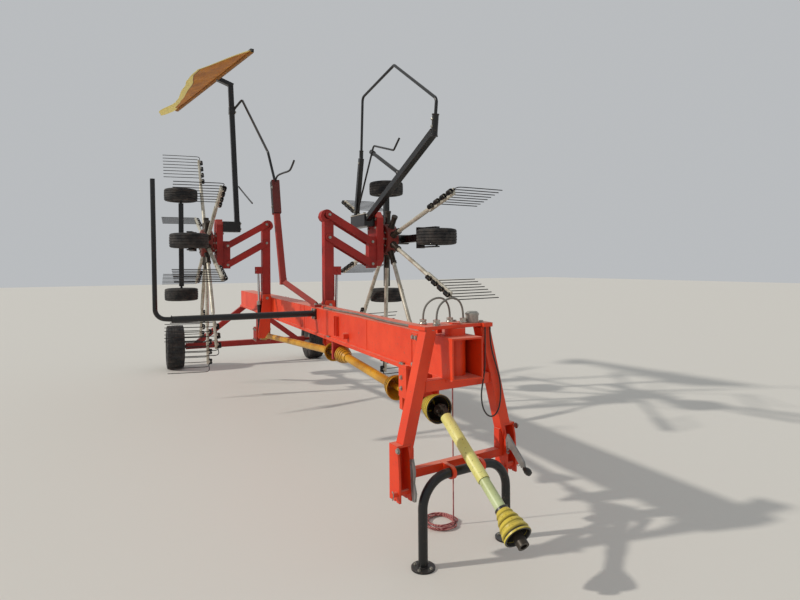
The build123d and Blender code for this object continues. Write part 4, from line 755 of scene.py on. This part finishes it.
# Shafts under the beam: the frame's own tubes and bells, in a darker yellow that paints the
# beam's shade on them, with black rubber seals at the bearings and steel straps on the hangers.
dress(ochre_yellow, "middle_shaft", "rear_shaft")
for name, foot in (("front", bearing), ("middle", spot(-1600, 0, 830))):
    seal = spin_outline([(-0.0448, 0.033), (-0.0448, 0.046), (-0.04, 0.05), (0.04, 0.05),
                         (0.0448, 0.046), (0.0448, 0.033)], 28)
    seal.matrix_world = upright_on(foot, (1, 0, 0))
    strap = spin_outline([(-0.02, 0.054), (-0.02, 0.0575), (0.02, 0.0575), (0.02, 0.054)], 28)
    strap.matrix_world = upright_on(foot, (1, 0, 0))
    settle(strap, "bearing_strap_" + name, zinc, "galvanised", "chassis")
    settle(seal, "bearing_seal_" + name, black_pvc, "rubber", "chassis")

# Booms and parallel links: each boom is a square tube that folds up on a pin through its
# bracket, and two pairs of flat links keep the rotor head level. The frame has their form;
# here they get a darker red, partly older paint and partly painted shade, bolts on the pins
# and the beads of their welds.
# The boom's middle is this far ahead of its rotor's hub, and the links' pins are this high
boom_lead = 70
pin_heights = (2165, 1925)
# The links are 560 mm long and point outwards and 30 degrees down while they are folded
link_out = 560 * math.cos(math.radians(30))
link_drop = 560 * math.sin(math.radians(30))
for name, side, hub in rotors:
    dress(red_enamel, "boom_" + name, "link_upper_" + name, "link_lower_" + name,
          "rotor_head_" + name)
    boom = hub + boom_lead
    across = side * 160
    weld("boom_weld_beads_" + name, "boom_" + name, red_enamel, 0.004, [
        *[[spot(boom + end * 51, across + side * 51, z) for z in (1300, 1528)] for end in (-1, 1)],
        *[[spot(boom + end * 33, across + side * 51, z) for z in (1532, 1618)] for end in (-1, 1)],
        *[[spot(boom + end * 51, across - side * 20 + y, 2155 + z)
           for y, z in circle(24, 67, math.pi)[:13]] for end in (-1, 1)]])
    fasten("boom_pin_bolts_" + name, "boom_" + name, 0.022, [
        (spot(boom + end * 80, across, z), (end, 0, 0)) for end in (-1, 1) for z in pin_heights])
    fasten("head_pin_bolts_" + name, "carriage_" + name, 0.022, [
        (spot(boom + end * 80, side * (160 + link_out), z - link_drop), (end, 0, 0))
        for end in (-1, 1) for z in pin_heights])
    fasten("head_case_bolts_" + name, "carriage_" + name, 0.024, [
        *[(spot(hub + x, side * 700, rotor_height + z), (0, -side, 0))
          for x in (-105, 105) for z in (-215, -120, 120, 215)],
        *[(spot(hub + x, side * 775, rotor_height + z), (0, side, 0)) for x, z in circle(8, 126)]])
    weld("head_weld_beads_" + name, "carriage_" + name, red_enamel, 0.004, [
        [spot(boom + end * 51, side * 699, z) for z in (1602, 1944)] for end in (-1, 1)])
    fasten("bracket_bolts_" + name, "chassis", 0.026, [
        (spot(boom + end * 82, across, 1215), (end, 0, 0)) for end in (-1, 1)])

# Lift cylinders: barrels in black enamel with a turned gland, and hard-chromed rods. Each
# one stands between its foot below the beam and the lugs on its boom.
# Hard chrome is ground to a mirror, and an oil film dulls it in patches of 30 mm
hard_chrome = new_finish("hard_chromed_rod")
place = add_node(hard_chrome, "TexCoord").outputs["Object"]
film = add_node(hard_chrome, "TexNoise", {"Scale": 35, "Detail": 5}, {"Vector": place}).outputs["Fac"]
oil_film = add_node(hard_chrome, "MapRange", {"To Min": 0.08, "To Max": 0.3},
                    {"Value": film}).outputs["Result"]
metal = add_node(hard_chrome, "BsdfPrincipled", {"Metallic": 1.0, "Base Color": linear("#C9CACB")},
                 {"Roughness": oil_film})
add_node(hard_chrome, "OutputMaterial", None, {"Surface": metal.outputs[0]})
for name, side, hub in rotors:
    dress(black_enamel, "lift_barrel_" + name)
    dress(hard_chrome, "lift_rod_" + name)
    foot = spot(hub + boom_lead, side * 235, 740)
    rod_eye = spot(hub + boom_lead, side * 260, 1575)
    gland = spin_outline([(0.39, 0.0278), (0.39, 0.0292), (0.402, 0.0302), (0.43, 0.0302),
                          (0.434, 0.0296), (0.4382, 0.0288), (0.4395, 0.022), (0.4395, 0.0145),
                          (0.4375, 0.0145), (0.4375, 0.0278)], 28)
    gland.matrix_world = upright_on(foot, rod_eye - foot)
    settle(gland, "cylinder_gland_" + name, zinc, "galvanised", "lift_barrel_" + name)
    port = spin_outline([(0, 0.0001), (0, 0.014), (0.012, 0.014), (0.013, 0.011), (0.03, 0.011),
                         (0.03, 0.0001)], 14)
    port.matrix_world = upright_on(foot.lerp(rod_eye, 0.1) + Vector((0.024, 0, 0)), (1, 0, 0))
    settle(port, "cylinder_port_" + name, zinc, "galvanised", "lift_barrel_" + name)

# Rotors: a red drum turns on the head's fixed shaft, with ten sockets for galvanised arms.
# Each arm ends in a flat carrier with four double spring tines of black wire clamped on.
# Three arms of the left rotor and two of the right have been taken off for the road.
galvanised = new_finish("hot_dip_galvanised_steel")
place = add_node(galvanised, "TexCoord").outputs["Object"]
# Zinc crystals are 5 to 10 mm across; stains run over 150 mm
crystals = add_node(galvanised, "TexVoronoi", {"Scale": 110}, {"Vector": place}).outputs["Color"]
crystal = add_node(galvanised, "RGBToBW", None, {"Color": crystals}).outputs[0]
stains = add_node(galvanised, "TexNoise", {"Scale": 7, "Detail": 6}, {"Vector": place}).outputs["Fac"]
stained = add_node(galvanised, "ValToRGB", {"stops": ((0.45, 0), (0.75, 0.8))}, {"Fac": stains})
spangle = add_node(galvanised, "MixRGB", {"Color1": linear("#D3CFC2"), "Color2": linear("#AEA999")},
                   {"Fac": crystal}).outputs["Color"]
weathered = add_node(galvanised, "MixRGB", {"Color2": linear("#8A775C")},
                     {"Fac": stained.outputs["Color"], "Color1": spangle}).outputs["Color"]
metal = add_node(galvanised, "BsdfPrincipled", {"Metallic": 0.35, "Roughness": 0.5},
                 {"Base Color": weathered})
add_node(galvanised, "OutputMaterial", None, {"Surface": metal.outputs[0]})

# Oil-hardened wire is blue-black with a low shine, and rusts in patches of 60 mm
spring_wire = patchy_finish("oil_hardened_spring_wire", "#17181B", "#4A3426",
                            {"Scale": 16, "Detail": 6}, {"Metallic": 0.4, "Roughness": 0.42},
                            stops=((0.5, 0), (0.75, 0.7)))
# Grease and hay dust have turned the drums' red paint brown
greasy_red = enamel("greasy_red_enamel", "#8C2416", "#241A18", "#6B4A40", 0.4)


def tine_place(number):
    """How far out on its arm a tine has its root, in millimetres."""
    return 1080 + number * 430 / 7


def make_springs(side):
    """The four double springs of one arm that lies along X, with tines to the ground side."""
    coil = 19.5
    wires = []
    for pair in range(4):
        for leg in (0, 1):
            root = tine_place(2 * pair + leg)
            way = -1 if leg else 1
            # Three turns of coil on the inboard face, from the clamp out to the leg
            points = []
            for step in range(31):
                angle = math.tau * step / 10
                points.append((root + way * (28 - 28 * step / 30), -33 + coil * math.cos(angle),
                               way * coil * math.sin(angle)))
            # The leg: along the arm, round a bend of about 100 degrees, and down to its tip
            points += [(root + 8, -13, 3), (root + 28, -16, 4), (root + 54, -20, 2.5),
                       (root + 74, -18, 1), (root + 87, -8, 0), (root + 93, 10, 0),
                       (root + 94, 34, 0), (root + 92, 120, 0), (root + 88, 240, 0),
                       (root + 84, 360, 0), (root + 80, 462, 0)]
            wires.append([(reach / 1000, side * out / 1000, tangent / 1000)
                          for reach, out, tangent in points])
    springs = as_mesh(draw_bar("springs", wires, 0.0046, 1))
    bpy.ops.object.shade_smooth()
    return springs


def round_edges(piece, width):
    """Rounds all edges of a piece with two facets."""
    pick(piece)
    rounding = piece.modifiers.new("rounded edges", "BEVEL")
    rounding.width = width
    rounding.segments = 2
    bpy.ops.object.modifier_apply(modifier="rounded edges")


def make_carrier(side):
    """A flat carrier along X with rounded edges, its row of holes, and its clamps."""
    bpy.ops.mesh.primitive_cube_add(size=1, location=(1.27, 0, 0))
    carrier = bpy.context.object
    carrier.scale = (0.48, 0.024, 0.062)
    bpy.ops.object.transform_apply(location=True, scale=True)
    round_edges(carrier, 0.004)
    drills = []
    for pair in range(4):
        bpy.ops.mesh.primitive_cylinder_add(
            vertices=16, radius=0.009, depth=0.1, rotation=(math.radians(90), 0, 0),
            location=(tine_place(2 * pair - 0.5) / 1000, 0, 0))
        drills.append(bpy.context.object)
    drill = join(drills)
    holes = carrier.modifiers.new("holes", "BOOLEAN")
    holes.object = drill
    holes.solver = "EXACT"
    pick(carrier)
    bpy.ops.object.modifier_apply(modifier="holes")
    bpy.data.objects.remove(drill)
    pieces = [carrier]
    for pair in range(4):
        middle = tine_place(2 * pair + 0.5) / 1000
        bpy.ops.mesh.primitive_cube_add(size=1, location=(middle, -side * 0.017, 0))
        clamp = bpy.context.object
        clamp.scale = (0.03, 0.012, 0.05)
        bpy.ops.object.transform_apply(location=True, scale=True)
        keep_faces(clamp, lambda normal: normal.y * side < -0.9)
        bpy.ops.mesh.inset(thickness=0.004)
        bpy.ops.transform.translate(value=(0, -side * 0.004, 0))
        bpy.ops.object.mode_set(mode="OBJECT")
        nut = copy_to(bolt, upright_on((middle, -side * 0.026, 0), (0, -side, 0), 0.018, 0.3 * pair))
        pieces += [clamp, nut]
    return pieces


def make_arm(side):
    """One galvanised arm along X: socket end, tube, flattened outer end and its carrier."""
    tube = spin_outline([(0.3, 0.0001), (0.3, 0.022), (0.94, 0.022), (1.0, 0.0215), (1.05, 0.0195),
                         (1.052, 0.0001)], 20)
    tube.matrix_world = upright_on((0, 0, 0), (1, 0, 0))
    return join([tube, *make_carrier(side)])


def make_socket():
    """A cast socket along X on the drum, with its foot, a clamp collar and two bolts."""
    socket = spin_outline([(0.15, 0.0001), (0.15, 0.042), (0.178, 0.04), (0.192, 0.031),
                           (0.29, 0.03), (0.293, 0.034), (0.318, 0.034), (0.32, 0.031),
                           (0.32, 0.0001)], 20)
    socket.matrix_world = upright_on((0, 0, 0), (1, 0, 0))
    nuts = [copy_to(bolt, upright_on((reach, 0, 0.029), (0, 0, 1), 0.018)) for reach in (0.225, 0.27)]
    return join([socket, *nuts])


# The drum's wall, about its axis: a cover ring on each side, and a raised band between
drum_outline = [(-0.07, 0.0405), (-0.07, 0.15), (-0.062, 0.166), (-0.05, 0.17), (-0.04, 0.17),
                (-0.034, 0.176), (0.034, 0.176), (0.04, 0.17), (0.05, 0.17), (0.062, 0.166),
                (0.07, 0.15), (0.07, 0.0405)]
# For each rotor, how far it stands turned, and which of its arms are off
turned_by = (14, 20)
arms_off = ((1, 2, 3), (1, 2))
for (name, side, hub), phase, missing in zip(rotors, turned_by, arms_off):
    middle = Matrix.Translation(spot(hub, side * 885, rotor_height))
    drum = spin_outline(drum_outline, 40)
    drum.matrix_world = middle @ Matrix.Rotation(math.radians(90), 4, "X")
    settle(drum, "rotor_drum_" + name, greasy_red, "red_paint", "rotor_" + name, "rotor_" + name)
    fasten("drum_bolts_" + name, "rotor_" + name, 0.02, [
        (spot(hub + x, side * 885 + face * 70, rotor_height + z), (0, face, 0))
        for x, z in circle(10, 120) for face in (-1, 1)])
    arm, springs, socket = make_arm(side), make_springs(side), make_socket()
    arms, tines, sockets = [], [], []
    for number in range(10):
        turned = middle @ Matrix.Rotation(math.radians(36 * number - phase), 4, "Y")
        sockets.append(copy_to(socket, turned))
        if (10 - number) % 10 not in missing:
            arms.append(copy_to(arm, turned))
            tines.append(copy_to(springs, turned))
    for pattern in (arm, springs, socket):
        bpy.data.objects.remove(pattern)
    settle(join(arms), "rake_arms_" + name, galvanised, "galvanised", "rotor_" + name)
    settle(join(tines), "spring_tines_" + name, spring_wire, "galvanised", "rotor_" + name)
    settle(join(sockets), "arm_sockets_" + name, dark_steel, "galvanised", "rotor_" + name)
    dress(black_enamel, "rotor_chassis_" + name)

# Guards: the left head carries a hoop of bent pipe on two square arms, with a bent crank, and
# the beam carries a cross tube with an upright pipe on the right. All are in black enamel.
dress(black_enamel, "guard_hoop_left", "cloth_post", "side_guard")


def bend_rod(name, body, radius, route):
    """A round bar in black enamel, along a smooth path."""
    rod = as_mesh(draw_bar(name, [route], radius, 3, 5))
    settle(rod, name, black_enamel, "black_paint", body)


def make_sleeve(foot, top, bore, wall):
    """A sleeve with turned lips between two points, open at both ends."""
    length = (top - foot).length
    lip = bore + wall * 1.3
    sleeve = spin_outline([(0, bore), (0, lip), (0.008, lip), (0.012, bore + wall),
                           (length - 0.012, bore + wall), (length - 0.008, lip), (length, lip),
                           (length, bore)], 24)
    sleeve.matrix_world = upright_on(foot, top - foot)
    return sleeve


def hoop(ahead, height):
    """A place on the hoop's plane, from millimetres ahead of the left boom."""
    return spot(-2440 + ahead, 620, height)


sleeves = [make_sleeve(hoop(1512, 2718), hoop(1541, 2905), 0.0142, 0.014),
           make_sleeve(hoop(-188, 2800), hoop(-178, 2920), 0.0142, 0.008),
           make_sleeve(hoop(120, 2850), hoop(176, 2823), 0.0192, 0.006),
           make_sleeve(hoop(800, 2519), hoop(856, 2492), 0.0192, 0.008)]
settle(join(sleeves), "hoop_sleeves", black_enamel, "black_paint", "carriage_left")
# Each bolt: how far ahead, its height and how far out from the hoop's plane its foot is
fasten("hoop_bolts", "carriage_left", 0.02, [
    (hoop(ahead, height) + Vector((0, -out, 0)), (0, -1, 0)) for ahead, height, out in (
        (1526, 2800, 0.028), (1534, 2860, 0.028), (-190, 2780, 0.025), (-335, 2245, 0.025),
        (60, 2168, 0.03))])

# The galvanised plate that clamps the hoop's two arms to the head
bpy.ops.mesh.primitive_cube_add(size=1, location=spot(-2650, 640, 2194))
plate = bpy.context.object
plate.scale = (0.44, 0.14, 0.008)
bpy.ops.object.transform_apply(location=True, scale=True)
round_edges(plate, 0.003)
settle(plate, "hoop_base_plate", galvanised, "galvanised", "carriage_left")
fasten("hoop_plate_bolts", "carriage_left", 0.026, [
    (spot(x, y, 2198), (0, 0, 1)) for x in (-2835, -2640, -2465) for y in (590, 690)])
fasten("side_guard_bolts", "chassis", 0.024, [
    (spot(-2040 + x, -116, 1165 + z), (0, -1, 0)) for x in (-30, 30) for z in (-42, 36)])
weld("side_guard_beads", "chassis", black_enamel, 0.005, [
    [spot(-2040 + x, -117, 1165 + z) for x, z in circle(20, 31, closed=True)],
    [spot(-2040 + x, -1400, 1178 + z) for x, z in circle(16, 21, closed=True)]], "black_paint")

# Rest for the guard pipe: painted red, with a tarred sleeve over its upper end, and the
# bent handle of the crank that was parked on it.
rest_finish = new_finish("rest_enamel")
place = add_node(rest_finish, "TexCoord").outputs["Object"]
height = add_node(rest_finish, "SeparateXYZ", None, {"Vector": place}).outputs["Z"]
outside = add_node(rest_finish, "NewGeometry").outputs["Normal"]
facing = add_node(rest_finish, "SeparateXYZ", None, {"Vector": outside}).outputs["X"]
# The tar starts at 2.196 m; it is mixed in less on the face to the front, so that the other faces are
# darker as painted shade
above = add_node(rest_finish, "MapRange", {"From Min": 2.194, "From Max": 2.198},
                 {"Value": height}).outputs["Result"]
side_shade = add_node(rest_finish, "MapRange", {"From Min": 0.9, "From Max": 0.2, "To Min": 0.6},
                    {"Value": facing}).outputs["Result"]
tarred = add_node(rest_finish, "Math", {"operation": "MULTIPLY"}, {0: above, 1: side_shade}).outputs[0]
# The red is worn in patches of 70 mm, and its edges are rounded by 3 mm
patch = add_node(rest_finish, "TexNoise", {"Scale": 14, "Detail": 6}, {"Vector": place}).outputs["Fac"]
worn_red = add_node(rest_finish, "MixRGB", {"Color1": linear("#B02A1A"), "Color2": linear("#7C2417")},
                    {"Fac": patch}).outputs["Color"]
tone = add_node(rest_finish, "MixRGB", {"Color2": linear("#1E1614")},
                {"Fac": tarred, "Color1": worn_red}).outputs["Color"]
rounded = add_node(rest_finish, "Bevel", {"samples": 4, "Radius": 0.003}).outputs[0]
coat = add_node(rest_finish, "BsdfPrincipled", {"Roughness": 0.5}, {"Base Color": tone, "Normal": rounded})
add_node(rest_finish, "OutputMaterial", None, {"Surface": coat.outputs[0]})
dress(rest_finish, "pipe_rest")
fasten("rest_bolts", "chassis", 0.024, [
    *[(spot(x, -60 + y, 1245), (0, 0, 1)) for x in (-2215, -2085) for y in (-24, 24)],
    *[(spot(-2805, -342, z), (0, -1, 0)) for z in (2270, 2480)]])
bend_rod("rest_crank_handle", "chassis", 0.01, [spot(x, -300, z) for x, z in (
    (-2846, 2540), (-2830, 2606), (-2500, 2592), (-2250, 2570), (-2160, 2580), (-2044, 2640))])

# Post of the swath cloth: a black square tube that is bolted upright on the right head and
# carries the cloth's bar. A thin stay rod runs ahead and down from it.
bend_rod("cloth_stay_rod", "carriage_right", 0.009, [spot(x, -500, z) for x, z in (
    (-4030, 2640), (-3600, 2490), (-3123, 2336))])
fasten("cloth_post_bolts", "carriage_right", 0.024, [
    *[(spot(-4060 + x, -540, z), (0, 1, 0)) for x in (-22, 38) for z in (3580, 3630)],
    *[(spot(-4030 + x, -487, z), (0, 1, 0)) for x in (-18, 18) for z in (2100, 2170)]])

# Swath cloth: coated canvas, cream above; below, a brown copy of it paints the underside's
# shade. It is bolted to a bar and hangs outboard from it, with a cut hem, a crease where it was
# folded and a tail that has flapped over. One sheet of threads is shaped in rows and columns.
def canvas(name, field, edge, worn):
    """Coated canvas: a 3 mm weave, stains of 160 mm, a painted shadow along its fold, and another colour
    beyond it.
    """
    finish = new_finish(name)
    coords = add_node(finish, "TexCoord")
    place, flat = coords.outputs["Object"], coords.outputs["UV"]
    stains = add_node(finish, "TexNoise", {"Scale": 6, "Detail": 7, "Roughness": 0.6},
                      {"Vector": place}).outputs["Fac"]
    stained = add_node(finish, "ValToRGB", {"stops": ((0.4, 0), (0.72, 1))}, {"Fac": stains})
    tone = add_node(finish, "MixRGB", {"Color1": linear(field), "Color2": linear(worn)},
                    {"Fac": stained.outputs["Color"]}).outputs["Color"]
    # A painted shadow along the fold, 0.8 of the way down the map, and the turned-over part below it
    down = add_node(finish, "SeparateXYZ", None, {"Vector": flat}).outputs["Y"]
    fold = add_node(finish, "MapRange", {"From Min": 0.77, "From Max": 0.8, "To Max": 0.6},
                    {"Value": down}).outputs["Result"]
    tone = add_node(finish, "MixRGB", {"Color2": linear("#5C3A17")},
                    {"Fac": fold, "Color1": tone}).outputs["Color"]
    below = add_node(finish, "MapRange", {"From Min": 0.8, "From Max": 0.82},
                     {"Value": down}).outputs["Result"]
    tone = add_node(finish, "MixRGB", {"Color2": linear(edge)},
                    {"Fac": below, "Color1": tone}).outputs["Color"]
    warp = add_node(finish, "TexWave", {"Scale": 105, "bands_direction": "X"}, {"Vector": place})
    weft = add_node(finish, "TexWave", {"Scale": 105, "bands_direction": "Y"}, {"Vector": place})
    threads = add_node(finish, "Math", {"operation": "ADD"},
                       {0: warp.outputs["Fac"], 1: weft.outputs["Fac"]}).outputs[0]
    weave = add_node(finish, "Bump", {"Strength": 0.2, "Distance": 0.0006}, {"Height": threads})
    # Light shines through the cloth, and its coating has a soft sheen
    coat = add_node(finish, "BsdfPrincipled", {"Roughness": 0.72, "Sheen Weight": 0.25},
                    {"Base Color": tone, "Normal": weave.outputs[0]})
    glow = add_node(finish, "BsdfTranslucent", None, {"Color": tone})
    lit = add_node(finish, "MixShader", {"Fac": 0.45}, {1: coat.outputs[0], 2: glow.outputs[0]})
    add_node(finish, "OutputMaterial", None, {"Surface": lit.outputs[0]})
    return finish


cream_canvas = canvas("cream_canvas", "#EBE1A8", "#F0E6AE", "#D8C98C")
# A brown copy of the canvas for the underside, as painted shade
shaded_canvas = canvas("shaded_canvas", "#CE8A22", "#F2E6A4", "#AE6C18")
bar_front, bar_rear = spot(-2950, -520, 3985), spot(-5750, -1120, 3985)
bar_way = (bar_rear - bar_front).normalized()
fall = Vector((0, -1, -0.34))
fall = (fall - bar_way * fall.dot(bar_way)).normalized()
cloth_up = bar_way.cross(fall)
cloth_up = cloth_up if cloth_up.z > 0 else -cloth_up
beside = Vector((fall.x, fall.y, 0)).normalized()
cloth_length = 2.864
# The cut of the cloth: how far down it reaches at each place along the bar, in metres
cut = [(0, 0.004), (0.491, 0.448), (1.044, 0.395), (2.05, 0.212), (2.33, 0.182), (2.5, 0.362),
       (2.64, 0.312), (cloth_length, 0.004)]
# How much of it has turned over and shows its clean side, where the underside's painted shade gives way to
# cream, at each place along the bar
turned_over = [(0, 0.016), (0.8, 0.03), (1.1, 0.09), (2.2, 0.07), (2.33, 0.08), (2.5, 0.25),
               (cloth_length, 0.25)]
# The edge that is wrapped round the bar's underside: (beside, above) its middle, in metres
wrap = ((-0.017, -0.0208), (0.0195, -0.0208), (0.0212, -0.0185), (0.0215, -0.009))


def depth_at(along, stations):
    """The depth of a strip of cloth at a place along the bar, rounded at the rear end."""
    for (start, near), (end, far) in zip(stations, stations[1:]):
        if along <= end:
            share = (along - start) / (end - start)
            if start > 2:
                share = (1 - math.cos(math.pi * share)) / 2
            return near + (far - near) * share
    return stations[-1][1]


columns, rows = 110, 16
corners, flat_places = [], []
for column in range(columns + 1):
    along = 2.8635 * column / columns
    depth = depth_at(along, cut)
    tail = max(0, along - 2.3) / 0.56
    clean_share = depth_at(along, turned_over) / max(depth, 0.02)
    brown_share = max(0.05, 1 - clean_share)
    on_bar = bar_front + bar_way * along
    for side, above in wrap:
        corners.append(on_bar + beside * side + Vector((0, 0, above)))
        flat_places.append((along / cloth_length, 0))
    for row in range(rows + 1):
        share = row / rows
        # A belly, ripples that grow to the hem, a fold's ridge, a dent, and the tail's droop
        lift = (-0.014 * math.sin(math.pi * share) * depth / 0.4
                + 0.008 * share ** 2 * math.sin(8.5 * along + 0.8)
                + 0.014 * share * math.exp(-((along - 0.98 - 0.1 * share) / 0.08) ** 2)
                - 0.012 * share * math.exp(-((along - 2.29 + 0.08 * share) / 0.06) ** 2)
                - 0.11 * tail * share ** 1.6 * depth / 0.36)
        corners.append(on_bar + fall * (0.0228 + depth * share * 0.985) + cloth_up * lift)
        flat_places.append((along / cloth_length, share * 0.8 / brown_share))
per_column = len(wrap) + rows + 1
squares = [(column * per_column + row, (column + 1) * per_column + row,
            (column + 1) * per_column + row + 1, column * per_column + row + 1)
           for column in range(columns) for row in range(per_column - 1)]
mesh = bpy.data.meshes.new("swath_cloth_sheet")
mesh.from_pydata(corners, [], squares)
unwrapped = mesh.uv_layers.new(name="cut")
for loop in mesh.loops:
    unwrapped.data[loop.index].uv = flat_places[loop.vertex_index]
sheet = bpy.data.objects.new("swath_cloth_sheet", mesh)
bpy.context.scene.collection.objects.link(sheet)
pick(sheet)
bpy.ops.object.shade_smooth()
mesh.materials.append(cream_canvas)
mesh.materials.append(shaded_canvas)
if sum(side.normal.z for side in mesh.polygons) < 0:
    mesh.flip_normals()
# The second material, the brown copy with painted shade, comes on the underside
thickness = sheet.modifiers.new("thickness", "SOLIDIFY")
thickness.thickness = 0.0028
thickness.offset = 0
thickness.material_offset = 1
thickness.material_offset_rim = 0
bpy.ops.object.modifier_apply(modifier="thickness")
settle(sheet, "swath_cloth_sheet", None, "cloth", "carriage_right", "swath_cloth")

# The bar's clamping bolts, under it, and its plastic end plug
fasten("cloth_bar_bolts", "carriage_right", 0.016, [
    (bar_front + bar_way * (0.12 + 0.325 * number) + Vector((0, 0, -0.018)), (0, 0, -1))
    for number in range(9)])
plug = spin_outline([(-0.004, 0.0001), (-0.004, 0.016), (0.0, 0.021), (0.012, 0.021),
                     (0.016, 0.017), (0.016, 0.0001)], 4)
plug.matrix_world = upright_on(bar_front, -bar_way, 1, math.radians(45))
settle(plug, "cloth_bar_plug", black_pvc, "rubber", "carriage_right")
# The pattern of all the bolts has served
bpy.data.objects.remove(bolt)
